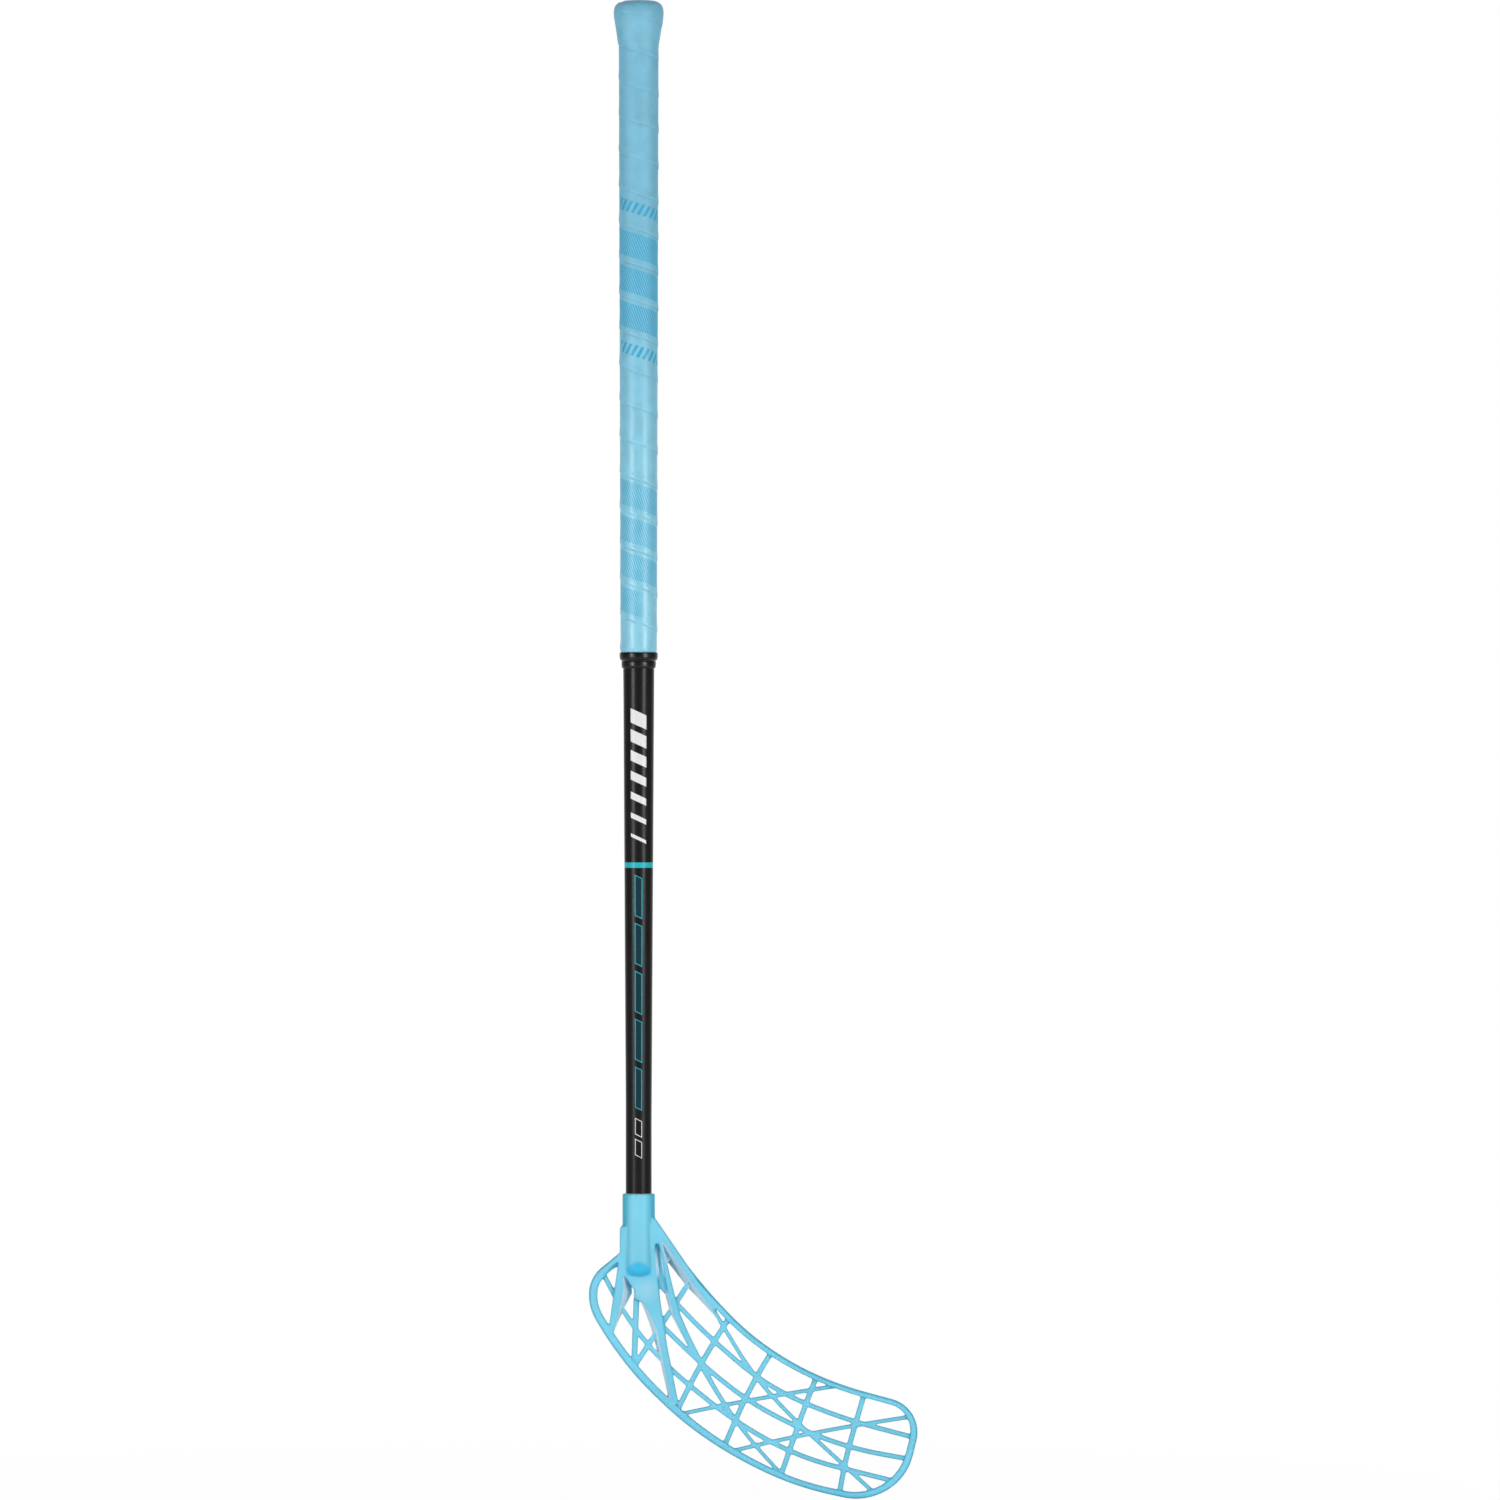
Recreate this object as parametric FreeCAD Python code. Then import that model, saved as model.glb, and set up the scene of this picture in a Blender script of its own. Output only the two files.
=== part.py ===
import FreeCAD, Part
import math
import os

V = FreeCAD.Vector
AXIS = V(0, 0, 1)
DEPTH = V(0, 1, 0)

# Frame: the shaft lies on Z with its butt end at z = 0, the toe points to +X
# and the forehand side of the blade faces -Y. All lengths are in mm.

# Shaft: hollow composite tube, two tapers and a plain lower end.
SHAFT_LENGTH = 960.0
SHAFT_D_BUTT = 26.4
SHAFT_D_WAIST = 23.6
SHAFT_D_LOW = 19.7
WAIST_Z = -505.0
LOW_RUN = 115.0
LOW_Z = LOW_RUN - SHAFT_LENGTH
SHAFT_WALL = 1.6

# Gaps between pieces that are fixed to each other.
GLUE_GAP = 0.06
PLUG_GAP = 0.05
TAPE_GAP = 0.08

# Butt knob: plug with a flared skirt over the end of the tube.
HEAD_R = 17.0
HEAD_TOP_Z = 2.2
HEAD_ROUND = 5.5
HEAD_LOW_Z = -7.0
SKIRT_END_Z = -26.0
SKIRT_LIP = 0.7
BOSS_R = 10.0
STEM_LENGTH = 36.0
STEM_BORE_R = 8.5
STEM_CHAMFER = 1.0

# Grip tape: one cushioned strip, wound from the knob down, with a narrow seam.
TAPE_THICK = 2.0
TAPE_PITCH = 27.1
TAPE_SEAM = 0.56
SEAM_TOP_Z = -1.5
SEAM_TURNS = 17
TAPE_FULL_END_Z = -489.4
TAPE_NECK_Z = -491.4
TAPE_END_Z = -496.0
TAPE_END_THICK = 1.25

# Finishing tape, wound flat over the thinned end of the strip.
END_TAPE_THICK = 0.3
END_TAPE_TOP_Z = -491.8
END_TAPE_LOW_Z = -495.6

# Rubber collar: a lip over the end of the strip and a bead on the bare shaft.
COLLAR_TOP_Z = -490.8
COLLAR_LIP_LOW_Z = -496.4
COLLAR_GROOVE_Z = -497.2
COLLAR_LOW_Z = -503.0
COLLAR_LIP_R = 14.6
COLLAR_LIP_EDGE_R = 13.9
COLLAR_GROOVE_R = 12.5
COLLAR_BEAD_R = 12.95
COLLAR_GAP = 0.07

# Blade socket: its mouth sits as far up the tube as the socket is deep.
HOSEL_D = 24.7
HOSEL_LENGTH = 63.0
HOSEL_FLOOR = 4.6
HOSEL_END_ROUND = 7.5
HOSEL_LIP_ROUND = 0.8
GLUE_THICK = 0.4
SOCKET_FLOOR_GAP = 0.4
MOUTH_Z = HOSEL_LENGTH - HOSEL_FLOOR - SOCKET_FLOOR_GAP - SHAFT_LENGTH

# Blade curve and depths.
HOOK_START = 15.0
HOOK_R = 1200.0
RIM_DEPTH = 9.6
RIM_ROUND = 2.6
RIB_DEPTH = 6.2
REACH = 30.0
BLADE_WIDTH = 230.0
BLADE_DROP = 250.0

# Rim, from the socket along the upper edge, round the toe and back to the heel:
# corners of the outer edge as (across, below the socket mouth) and rim width.
RIM_CORNERS = [
    (11.5, 18.5, 4.8), (46.5, 68.0, 4.8), (83.5, 106.5, 4.6), (118.5, 130.0, 4.3),
    (154.0, 145.5, 4.1), (202.6, 158.2, 4.2), (213.4, 176.2, 5.4), (204.0, 215.4, 5.7),
    (172.8, 234.0, 5.0), (120.5, 223.0, 4.5), (74.0, 201.5, 5.2), (34.0, 175.0, 6.0),
    (-2.0, 140.0, 6.3), (-23.5, 111.5, 6.3), (-38.5, 86.0, 6.4), (-37.0, 63.5, 6.4),
    (-15.0, 45.5, 6.3)]

# Lattice: corners of each rib's centre line.
LENGTHWISE_W = 3.6
LENGTHWISE = [
    [(15.5, 68.5), (40.0, 97.5), (97.0, 146.5), (152.0, 170.0), (208.0, 184.2)],
    [(8.0, 91.0), (49.0, 131.0), (87.0, 160.7), (150.0, 191.4), (206.0, 201.0)],
    [(-28.5, 58.0), (-9.0, 95.5), (21.5, 132.0), (73.0, 173.5), (122.5, 200.5), (195.0, 218.0)]]
CROSS_W = 4.0
CROSS = [
    [(38.5, 67.5), (-2.4, 130.0)],
    [(69.5, 93.5), (47.2, 127.0), (29.6, 164.7)],
    [(101.1, 120.3), (86.2, 143.3), (64.8, 192.5)],
    [(134.8, 139.5), (127.3, 158.5), (108.4, 213.0)],
    [(171.1, 152.5), (155.9, 205.0), (152.6, 227.5)]]
BRACE_W = 3.0
BRACES = [
    [(51.0, 79.0), (85.5, 136.0), (114.8, 168.6), (178.8, 226.8)],
    [(29.5, 168.2), (85.0, 156.1), (148.5, 146.2)],
    [(70.0, 196.0), (125.5, 182.0), (206.0, 168.8)]]
NECK_BRACE = [(25.0, 82.0), (32.2, 101.5), (70.9, 172.8), (107.0, 211.5)]
NECK_BRACE_W = [5.4, 5.2, 2.7, 2.8]
MIDDLE_RIB = [(-1.2, 66.0), (-3.5, 131.0)]
MIDDLE_RIB_W = 4.4

# Neck: half depth beside the socket, and half depths of the ribs further down
# as (below the socket mouth, half depth).
NECK_HALF_DEEP = 8.4
NECK_DEPTHS = [
    (12.0, 6.0), (26.0, NECK_HALF_DEEP), (44.0, 7.9), (60.0, 7.0), (92.0, 5.0), (135.0, 4.6),
    (170.0, 4.2)]
BRACE_DEPTHS = [(12.0, NECK_HALF_DEEP), (44.0, 7.9), (60.0, 7.0), (108.0, 3.4)]
FIN = [(-14.3, 26.6), (-14.3, 47.0), (-8.0, 52.0), (-8.0, 24.8), (-13.2, 24.8)]
# Drafted neck ribs: outline on the forehand side, then the wider one on the back.
TONGUE = (
    [(-12.0, 30.0), (-11.0, 62.0), (-3.2, 73.5), (-3.0, 80.0), (2.6, 82.6), (8.4, 90.0),
     (16.8, 90.0), (15.2, 72.0), (13.2, 66.0), (13.0, 60.0), (12.8, 43.0), (12.0, 30.0)],
    [(-12.0, 30.0), (-11.0, 62.0), (-3.2, 73.5), (-3.0, 80.0), (1.2, 82.6), (3.8, 90.0),
     (17.0, 90.0), (15.8, 72.0), (21.2, 66.0), (20.6, 60.0), (15.4, 40.0), (12.0, 30.0)])
HEEL_RIB = (
    [(-14.2, 44.0), (-11.0, 44.0), (-13.2, 74.0), (-15.5, 90.0), (-19.0, 105.0), (-23.2, 105.0)],
    [(-14.2, 44.0), (-8.0, 58.0), (-3.0, 76.0), (-10.4, 88.5), (-18.6, 105.0), (-23.2, 105.0)])
SOLE_RIB = (
    [(3.4, 82.0), (16.2, 80.0), (21.7, 116.0), (30.3, 160.0), (25.4, 160.0), (19.6, 128.0),
     (15.2, 103.0), (9.0, 91.0)],
    [(1.0, 82.0), (16.2, 80.0), (21.7, 116.0), (30.3, 160.0), (22.6, 160.0), (14.6, 126.0),
     (7.0, 102.0), (3.8, 91.0)])
UPPER_RIB = (
    [(8.0, 18.2), (12.0, 18.2), (46.2, 68.0), (57.5, 81.5), (58.0, 87.0), (56.0, 88.5),
     (43.5, 70.0), (17.4, 34.0), (14.3, 37.4), (8.0, 36.0)],
    [(8.0, 18.2), (12.0, 18.2), (46.2, 68.0), (57.5, 81.5), (59.3, 88.5), (61.2, 98.0),
     (34.5, 70.8), (22.0, 53.8), (16.0, 46.0), (8.0, 41.0)])
BRACE_RIB = (
    [(15.0, 36.0), (17.2, 34.0), (20.2, 48.0), (22.2, 56.0), (27.6, 78.0), (31.0, 91.0),
     (36.0, 103.5), (32.6, 105.5), (26.5, 92.0), (23.6, 79.0), (20.8, 68.0), (17.6, 50.0)],
    [(14.4, 36.0), (17.2, 34.0), (20.2, 48.0), (22.2, 56.0), (27.6, 78.0), (31.0, 91.0),
     (36.0, 103.5), (31.4, 106.5), (23.8, 92.0), (19.6, 79.0), (19.4, 68.0), (17.0, 50.0)])
HEEL_WEB = (
    [(-29.0, 58.0), (-14.2, 45.0), (-12.0, 48.0), (-27.5, 60.8)],
    [(-29.0, 58.0), (-14.2, 45.0), (-12.0, 53.5), (-26.0, 62.8)])
HEEL_WEB_REACH = [-30.0, -14.0]
# Thin webs, as deep as the lattice, that close the grooves on both sides of the brace.
GROOVE_WEBS = [
    [(12.5, 42.0), (14.6, 37.0), (17.6, 49.0), (20.8, 67.0), (21.5, 70.0), (17.5, 70.5), (13.0, 66.0)],
    [(16.8, 37.0), (17.6, 34.4), (25.0, 45.0), (22.1, 53.6), (20.0, 48.0)]]

# Blade screws: two pan-head self-tapping screws in the back of the socket.
SCREW_DROPS = [17.0, 37.0]
SCREW_R = 1.45
SCREW_HEAD_R = 2.8
SCREW_HEAD_H = 2.0
SCREW_LENGTH = 6.8
SCREW_POINT = 1.6
SCREW_SEAT_Y = 11.6
SCREW_SEAT_R = 3.2
SCREW_CROSS_W = 0.9
SCREW_CROSS_L = 3.4
SCREW_CROSS_DEEP = 1.1
SCREW_GAP = 0.06


def shaft_radius(z):
    """Outer radius of the tube at height z."""
    if z > WAIST_Z:
        share = z / WAIST_Z
        return 0.5 * (SHAFT_D_BUTT + share * (SHAFT_D_WAIST - SHAFT_D_BUTT))
    if z > LOW_Z:
        share = (z - WAIST_Z) / (LOW_Z - WAIST_Z)
        return 0.5 * (SHAFT_D_WAIST + share * (SHAFT_D_LOW - SHAFT_D_WAIST))
    return 0.5 * SHAFT_D_LOW


def ring(points):
    """Solid turned about the shaft; a point with a third item is the middle of an arc."""
    corners = [V(p[0], 0, p[1]) for p in points]
    count = len(points)
    edges = []
    i = 0
    while i < count:
        after = (i + 1) % count
        if len(points[after]) == 3:
            far = (i + 2) % count
            edges.append(Part.Arc(corners[i], corners[after], corners[far]).toShape())
            i += 2
        else:
            edges.append(Part.makeLine(corners[i], corners[after]))
            i += 1
    return Part.Face(Part.Wire(edges)).revolve(V(0, 0, 0), AXIS, 360)


def screw_holes(radius):
    """Round holes for the blade screws, open to the back."""
    holes = []
    for drop in SCREW_DROPS:
        holes.append(Part.makeCylinder(radius, REACH, V(0, 0, MOUTH_Z - drop), DEPTH))
    return holes


def make_shaft():
    levels = [0.0, WAIST_Z, LOW_Z, -SHAFT_LENGTH]
    outside = [(shaft_radius(z), z) for z in levels]
    inside = [(r - SHAFT_WALL, z) for r, z in reversed(outside)]
    return ring(outside + inside).cut(screw_holes(SCREW_R + SCREW_GAP))


def knob_side(grow):
    """Half profile of the knob's outside, pushed out by grow: top round, side and skirt."""
    centre_r = HEAD_R - HEAD_ROUND
    centre_z = HEAD_TOP_Z - HEAD_ROUND
    slant = (HEAD_ROUND + grow) * math.sqrt(0.5)
    skirt_r = shaft_radius(SKIRT_END_Z) + PLUG_GAP + SKIRT_LIP
    return [
        (centre_r, HEAD_TOP_Z + grow), (centre_r + slant, centre_z + slant, "arc"),
        (HEAD_R + grow, centre_z), (HEAD_R + grow, HEAD_LOW_Z), (skirt_r + grow, SKIRT_END_Z)]


def make_knob():
    stem_r = shaft_radius(0) - SHAFT_WALL - PLUG_GAP
    stem_low_r = shaft_radius(-STEM_LENGTH) - SHAFT_WALL - PLUG_GAP
    boss_z = HEAD_TOP_Z + TAPE_GAP + TAPE_THICK
    boss = [(0, boss_z), (BOSS_R, boss_z), (BOSS_R, HEAD_TOP_Z)]
    slot = [
        (shaft_radius(SKIRT_END_Z) + PLUG_GAP, SKIRT_END_Z),
        (shaft_radius(0) + PLUG_GAP, PLUG_GAP), (stem_r, PLUG_GAP)]
    stem = [
        (stem_low_r, STEM_CHAMFER - STEM_LENGTH), (stem_low_r - STEM_CHAMFER, -STEM_LENGTH),
        (STEM_BORE_R, -STEM_LENGTH), (STEM_BORE_R, -STEM_CHAMFER), (0, -STEM_CHAMFER)]
    return ring(boss + knob_side(0) + slot + stem)


def on_tube(height, z):
    """Profile point at a height over the tube's surface, the strip's own gap included."""
    return (shaft_radius(z) + TAPE_GAP + height, z)


def seam_point(radius, turn, drop):
    """Point on an edge of the seam, a number of turns below its top end."""
    angle = math.pi * (1 + 2 * turn)
    z = SEAM_TOP_Z - turn * TAPE_PITCH - drop
    return V(radius * math.cos(angle), radius * math.sin(angle), z)


def seam_cut():
    """Thin screw-shaped blade that parts one turn of the strip from the next."""
    low_z = SEAM_TOP_Z - SEAM_TURNS * TAPE_PITCH
    near = SHAFT_D_LOW / 2
    far = HEAD_R + 2 * TAPE_THICK
    half = TAPE_SEAM / 2
    corners = [V(near, 0, -half), V(far, 0, -half), V(far, 0, half), V(near, 0, half)]
    section = Part.makePolygon(corners + corners[:1])
    path = Part.Wire(Part.makeLongHelix(TAPE_PITCH, SEAM_TURNS * TAPE_PITCH, HEAD_R, 0, True))
    cutter = path.makePipeShell([section], True, True)
    cutter.rotate(V(0, 0, 0), AXIS, 180)
    cutter.translate(V(0, 0, low_z))
    return cutter


def seam_gap():
    """Least distance across the seam, measured on points of both its edges."""
    least = TAPE_PITCH
    for radius in (shaft_radius(WAIST_Z), HEAD_R):
        here = seam_point(radius, 0.5, -TAPE_SEAM / 2)
        for step in range(-60, 61):
            there = seam_point(radius, 0.5 + step / 720.0, TAPE_SEAM / 2)
            least = min(least, here.distanceToPoint(there))
    return least


def make_tape():
    bridge_z = SKIRT_END_Z - 2 * TAPE_THICK
    inside = [(BOSS_R + TAPE_GAP, HEAD_TOP_Z + TAPE_GAP)] + knob_side(TAPE_GAP)
    inside += [on_tube(0, bridge_z), on_tube(0, TAPE_END_Z)]
    outside = [(BOSS_R + TAPE_GAP, HEAD_TOP_Z + TAPE_GAP + TAPE_THICK)]
    outside += knob_side(TAPE_GAP + TAPE_THICK)
    outside += [on_tube(TAPE_THICK, bridge_z), on_tube(TAPE_THICK, TAPE_FULL_END_Z)]
    outside += [on_tube(TAPE_END_THICK, TAPE_NECK_Z), on_tube(TAPE_END_THICK, TAPE_END_Z)]
    return ring(inside + outside[::-1]).cut(seam_cut())


def make_end_tape():
    low = TAPE_END_THICK + TAPE_GAP
    high = low + END_TAPE_THICK
    return ring([
        on_tube(low, END_TAPE_TOP_Z), on_tube(high, END_TAPE_TOP_Z),
        on_tube(high, END_TAPE_LOW_Z), on_tube(low, END_TAPE_LOW_Z)])


def make_collar():
    lip_bore = on_tube(TAPE_END_THICK + 2 * TAPE_GAP + END_TAPE_THICK, COLLAR_TOP_Z)[0]
    bead_bore = shaft_radius(COLLAR_LIP_LOW_Z) + COLLAR_GAP
    lip_mid_z = 0.5 * (COLLAR_TOP_Z + COLLAR_GROOVE_Z)
    bead_mid_z = 0.5 * (COLLAR_GROOVE_Z + COLLAR_LOW_Z)
    return ring([
        (lip_bore, COLLAR_TOP_Z), (COLLAR_LIP_EDGE_R, COLLAR_TOP_Z),
        (COLLAR_LIP_R, lip_mid_z, "arc"), (COLLAR_GROOVE_R + 0.6, COLLAR_GROOVE_Z),
        (COLLAR_GROOVE_R, COLLAR_GROOVE_Z), (COLLAR_BEAD_R, bead_mid_z, "arc"),
        (COLLAR_GROOVE_R, COLLAR_LOW_Z), (bead_bore, COLLAR_LOW_Z),
        (bead_bore, COLLAR_LIP_LOW_Z), (lip_bore, COLLAR_LIP_LOW_Z)])


def make_glue():
    near = shaft_radius(MOUTH_Z) + GLUE_GAP
    far = near + GLUE_THICK
    film = ring([(near, MOUTH_Z), (far, MOUTH_Z), (far, -SHAFT_LENGTH), (near, -SHAFT_LENGTH)])
    return film.cut(screw_holes(SCREW_R + 2 * SCREW_GAP))


def make_screws():
    screws = []
    for drop in SCREW_DROPS:
        seat = V(0, SCREW_SEAT_Y, MOUTH_Z - drop)
        head = Part.makeCylinder(SCREW_HEAD_R, SCREW_HEAD_H, seat, DEPTH)
        crown = [e for e in head.Edges if e.BoundBox.YMin > SCREW_SEAT_Y + SCREW_HEAD_H / 2 and e.Closed]
        head = head.makeFillet(SCREW_HEAD_H / 2, crown)
        plain = SCREW_LENGTH - SCREW_POINT
        shank = Part.makeCylinder(SCREW_R, plain, seat, -DEPTH)
        point = Part.makeCone(SCREW_R, SCREW_R / 5, SCREW_POINT, seat - DEPTH * plain, -DEPTH)
        screw = head.fuse([shank, point])
        for size in ((SCREW_CROSS_L, SCREW_CROSS_W), (SCREW_CROSS_W, SCREW_CROSS_L)):
            low = V(-size[0] / 2, SCREW_SEAT_Y + SCREW_HEAD_H - SCREW_CROSS_DEEP, seat.z - size[1] / 2)
            screw = screw.cut(Part.makeBox(size[0], SCREW_HEAD_H, size[1], low))
        screws.append(screw.removeSplitter().Solids[0])
    return Part.makeCompound(screws)


def blade_point(corner, y=-REACH):
    """Blade corner (across, below the socket mouth) as a point in the frame."""
    return V(corner[0], y, MOUTH_Z - corner[1])


def smooth_edges(corners):
    """Line through the runs between corners, each inner corner rounded as far as the runs allow."""
    edges = []
    here = corners[0]
    last = len(corners) - 1
    for i in range(1, last):
        back = corners[i - 1] - corners[i]
        ahead = corners[i + 1] - corners[i]
        free_back = back.Length if i == 1 else back.Length / 2
        free_ahead = ahead.Length if i == last - 1 else ahead.Length / 2
        run = min(free_back, free_ahead)
        half = back.getAngle(ahead) / 2
        back.normalize()
        ahead.normalize()
        middle = (back + ahead).normalize()
        start = corners[i] + back * run
        crown = corners[i] + middle * (run * (1 - math.sin(half)) / math.cos(half))
        end = corners[i] + ahead * run
        if start.distanceToPoint(here) > 0.001:
            edges.append(Part.makeLine(here, start))
        edges.append(Part.Arc(start, crown, end).toShape())
        here = end
    if here.distanceToPoint(corners[last]) > 0.001:
        edges.append(Part.makeLine(here, corners[last]))
    return edges


def shifted(corners, distances):
    """Corners moved sideways, each by its own distance, square to the runs beside it."""
    moved = []
    last = len(corners) - 1
    for i, corner in enumerate(corners):
        before = corners[max(i, 1)] - corners[max(i, 1) - 1]
        after = corners[min(i, last - 1) + 1] - corners[min(i, last - 1)]
        one = DEPTH.cross(before).normalize()
        two = DEPTH.cross(after).normalize()
        moved.append(corner + (one + two) * (distances[i] / (1 + one.dot(two))))
    return moved


def band(one_side, other_side):
    """Flat face between two smooth lines."""
    edges = smooth_edges(one_side) + smooth_edges(other_side)
    edges.append(Part.makeLine(one_side[0], other_side[0]))
    edges.append(Part.makeLine(one_side[-1], other_side[-1]))
    return Part.Face(Part.Wire(Part.__sortEdges__(edges)))


def strip(corners, widths):
    """Flat face of a rib with its own width at each corner."""
    line = [blade_point(c) for c in corners]
    return band(shifted(line, [w / 2 for w in widths]), shifted(line, [-w / 2 for w in widths]))


def outline(corners, y=-REACH):
    """Closed wire with straight runs between blade corners."""
    points = [blade_point(c, y) for c in corners]
    return Part.makePolygon(points + points[:1])


def curved_slab(depth):
    """Slab of even depth that is flat at the heel and hooks to the forehand side at the toe."""
    turn = (BLADE_WIDTH - HOOK_START) / HOOK_R
    z = MOUTH_Z - BLADE_DROP

    def on_arc(radius, angle):
        return V(HOOK_START + radius * math.sin(angle), radius * math.cos(angle) - HOOK_R, z)

    near = HOOK_R - depth / 2
    far = HOOK_R + depth / 2
    front = Part.Arc(on_arc(near, 0), on_arc(near, turn / 2), on_arc(near, turn)).toShape()
    back = Part.Arc(on_arc(far, 0), on_arc(far, turn / 2), on_arc(far, turn)).toShape()
    heel_front = V(-BLADE_WIDTH / 2, -depth / 2, z)
    heel_back = V(-BLADE_WIDTH / 2, depth / 2, z)
    edges = [
        Part.makeLine(heel_front, on_arc(near, 0)), front,
        Part.makeLine(on_arc(near, turn), on_arc(far, turn)), back,
        Part.makeLine(on_arc(far, 0), heel_back), Part.makeLine(heel_back, heel_front)]
    return Part.Face(Part.Wire(Part.__sortEdges__(edges))).extrude(AXIS * BLADE_DROP)


def neck_slab(depths):
    """Slab that is deep beside the socket and thins out down the blade."""
    left = -BLADE_WIDTH / 2
    front = [V(left, -half, MOUTH_Z - drop) for drop, half in depths]
    back = [V(left, half, MOUTH_Z - drop) for drop, half in reversed(depths)]
    corners = front + back
    return Part.Face(Part.makePolygon(corners + corners[:1])).extrude(V(2 * BLADE_WIDTH, 0, 0))


def heel_slab():
    """Slab that is as deep as the rim at the heel and deepens toward the socket."""
    far, near = HEEL_WEB_REACH
    low = MOUTH_Z - BLADE_DROP
    depths = [(far, RIM_DEPTH / 2), (near, NECK_HALF_DEEP), (0, NECK_HALF_DEEP)]
    corners = [V(x, -half, low) for x, half in depths]
    corners += [V(x, half, low) for x, half in reversed(depths)]
    return Part.Face(Part.makePolygon(corners + corners[:1])).extrude(AXIS * BLADE_DROP)


def through(face):
    """Flat face pushed through the whole depth of the blade."""
    return face.extrude(DEPTH * (2 * REACH))


def drafted(sides):
    """Rib with sloped walls between its forehand and back outlines."""
    front = outline(sides[0], -NECK_HALF_DEEP)
    back = outline(sides[1], NECK_HALF_DEEP)
    return Part.makeLoft([front, back], True, True)


def make_rim():
    outer = [blade_point(c) for c in RIM_CORNERS]
    inner = shifted(outer, [c[2] for c in RIM_CORNERS])
    rim = through(band(outer, inner)).common(curved_slab(RIM_DEPTH))
    edge_line = Part.Wire(Part.__sortEdges__(smooth_edges(outer)))
    rounded = []
    for edge in rim.Edges:
        middle = edge.valueAt(0.5 * (edge.FirstParameter + edge.LastParameter))
        flat = Part.Vertex(V(middle.x, -REACH, middle.z))
        across = edge.BoundBox.YLength > 0.9 * RIM_DEPTH
        if flat.distToShape(edge_line)[0] < 0.01 and not across:
            rounded.append(edge)
    return rim.makeFillet(RIM_ROUND, rounded)


def make_lattice():
    ribs = [strip(c, [LENGTHWISE_W] * len(c)) for c in LENGTHWISE]
    ribs += [strip(c, [CROSS_W] * len(c)) for c in CROSS]
    ribs += [strip(c, [BRACE_W] * len(c)) for c in BRACES]
    ribs.append(strip(NECK_BRACE, NECK_BRACE_W))
    ribs.append(strip(MIDDLE_RIB, [MIDDLE_RIB_W] * len(MIDDLE_RIB)))
    ribs += [Part.Face(outline(web)) for web in GROOVE_WEBS]
    solids = [through(face) for face in ribs]
    return solids[0].fuse(solids[1:]).removeSplitter().common(curved_slab(RIB_DEPTH))


def make_neck():
    deep = [drafted(sides) for sides in (TONGUE, HEEL_RIB, SOLE_RIB, UPPER_RIB)]
    deep.append(through(Part.Face(outline(FIN))))
    neck = deep[0].fuse(deep[1:]).common(neck_slab(NECK_DEPTHS))
    brace = drafted(BRACE_RIB).common(neck_slab(BRACE_DEPTHS))
    return neck.fuse([brace, drafted(HEEL_WEB).common(heel_slab())])


def make_hosel():
    low = V(0, 0, MOUTH_Z - HOSEL_LENGTH)
    hosel = Part.makeCylinder(HOSEL_D / 2, HOSEL_LENGTH, low)
    mouth = [e for e in hosel.Edges if e.Closed and e.BoundBox.ZMin > MOUTH_Z - 1]
    floor = [e for e in hosel.Edges if e.Closed and e.BoundBox.ZMax < low.z + 1]
    return hosel.makeFillet(HOSEL_LIP_ROUND, mouth).makeFillet(HOSEL_END_ROUND, floor)


def make_blade():
    blade = make_hosel().fuse([make_neck(), make_rim(), make_lattice()])
    socket_r = shaft_radius(MOUTH_Z) + 2 * GLUE_GAP + GLUE_THICK
    floor_z = -SHAFT_LENGTH - SOCKET_FLOOR_GAP
    cuts = [Part.makeCylinder(socket_r, MOUTH_Z + 1 - floor_z, V(0, 0, floor_z))]
    cuts += screw_holes(SCREW_R + 2 * SCREW_GAP)
    for drop in SCREW_DROPS:
        seat = V(0, SCREW_SEAT_Y - SCREW_GAP, MOUTH_Z - drop)
        cuts.append(Part.makeCylinder(SCREW_SEAT_R, REACH, seat, DEPTH))
    return blade.cut(cuts).removeSplitter()


PIECES = [
    ("shaft_tube", make_shaft), ("butt_knob", make_knob), ("grip_tape", make_tape),
    ("grip_end_tape", make_end_tape), ("grip_collar", make_collar), ("blade", make_blade),
    ("blade_adhesive", make_glue), ("blade_screws", make_screws)]

os.makedirs("parts", exist_ok=True)
for name, make in PIECES:
    shape = make()
    if len(shape.Solids) == 1:
        shape = shape.Solids[0]
    box = shape.BoundBox
    print(name, "solids", len(shape.Solids), "valid", shape.isValid(), "volume", round(shape.Volume, 1))
    print("  x %.1f to %.1f, y %.1f to %.1f, z %.1f to %.1f" % (
        box.XMin, box.XMax, box.YMin, box.YMax, box.ZMin, box.ZMax))
    shape.exportStep("parts/" + name + ".step")
print("least gap of the strip to itself", round(seam_gap(), 3))
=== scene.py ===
import math

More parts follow.
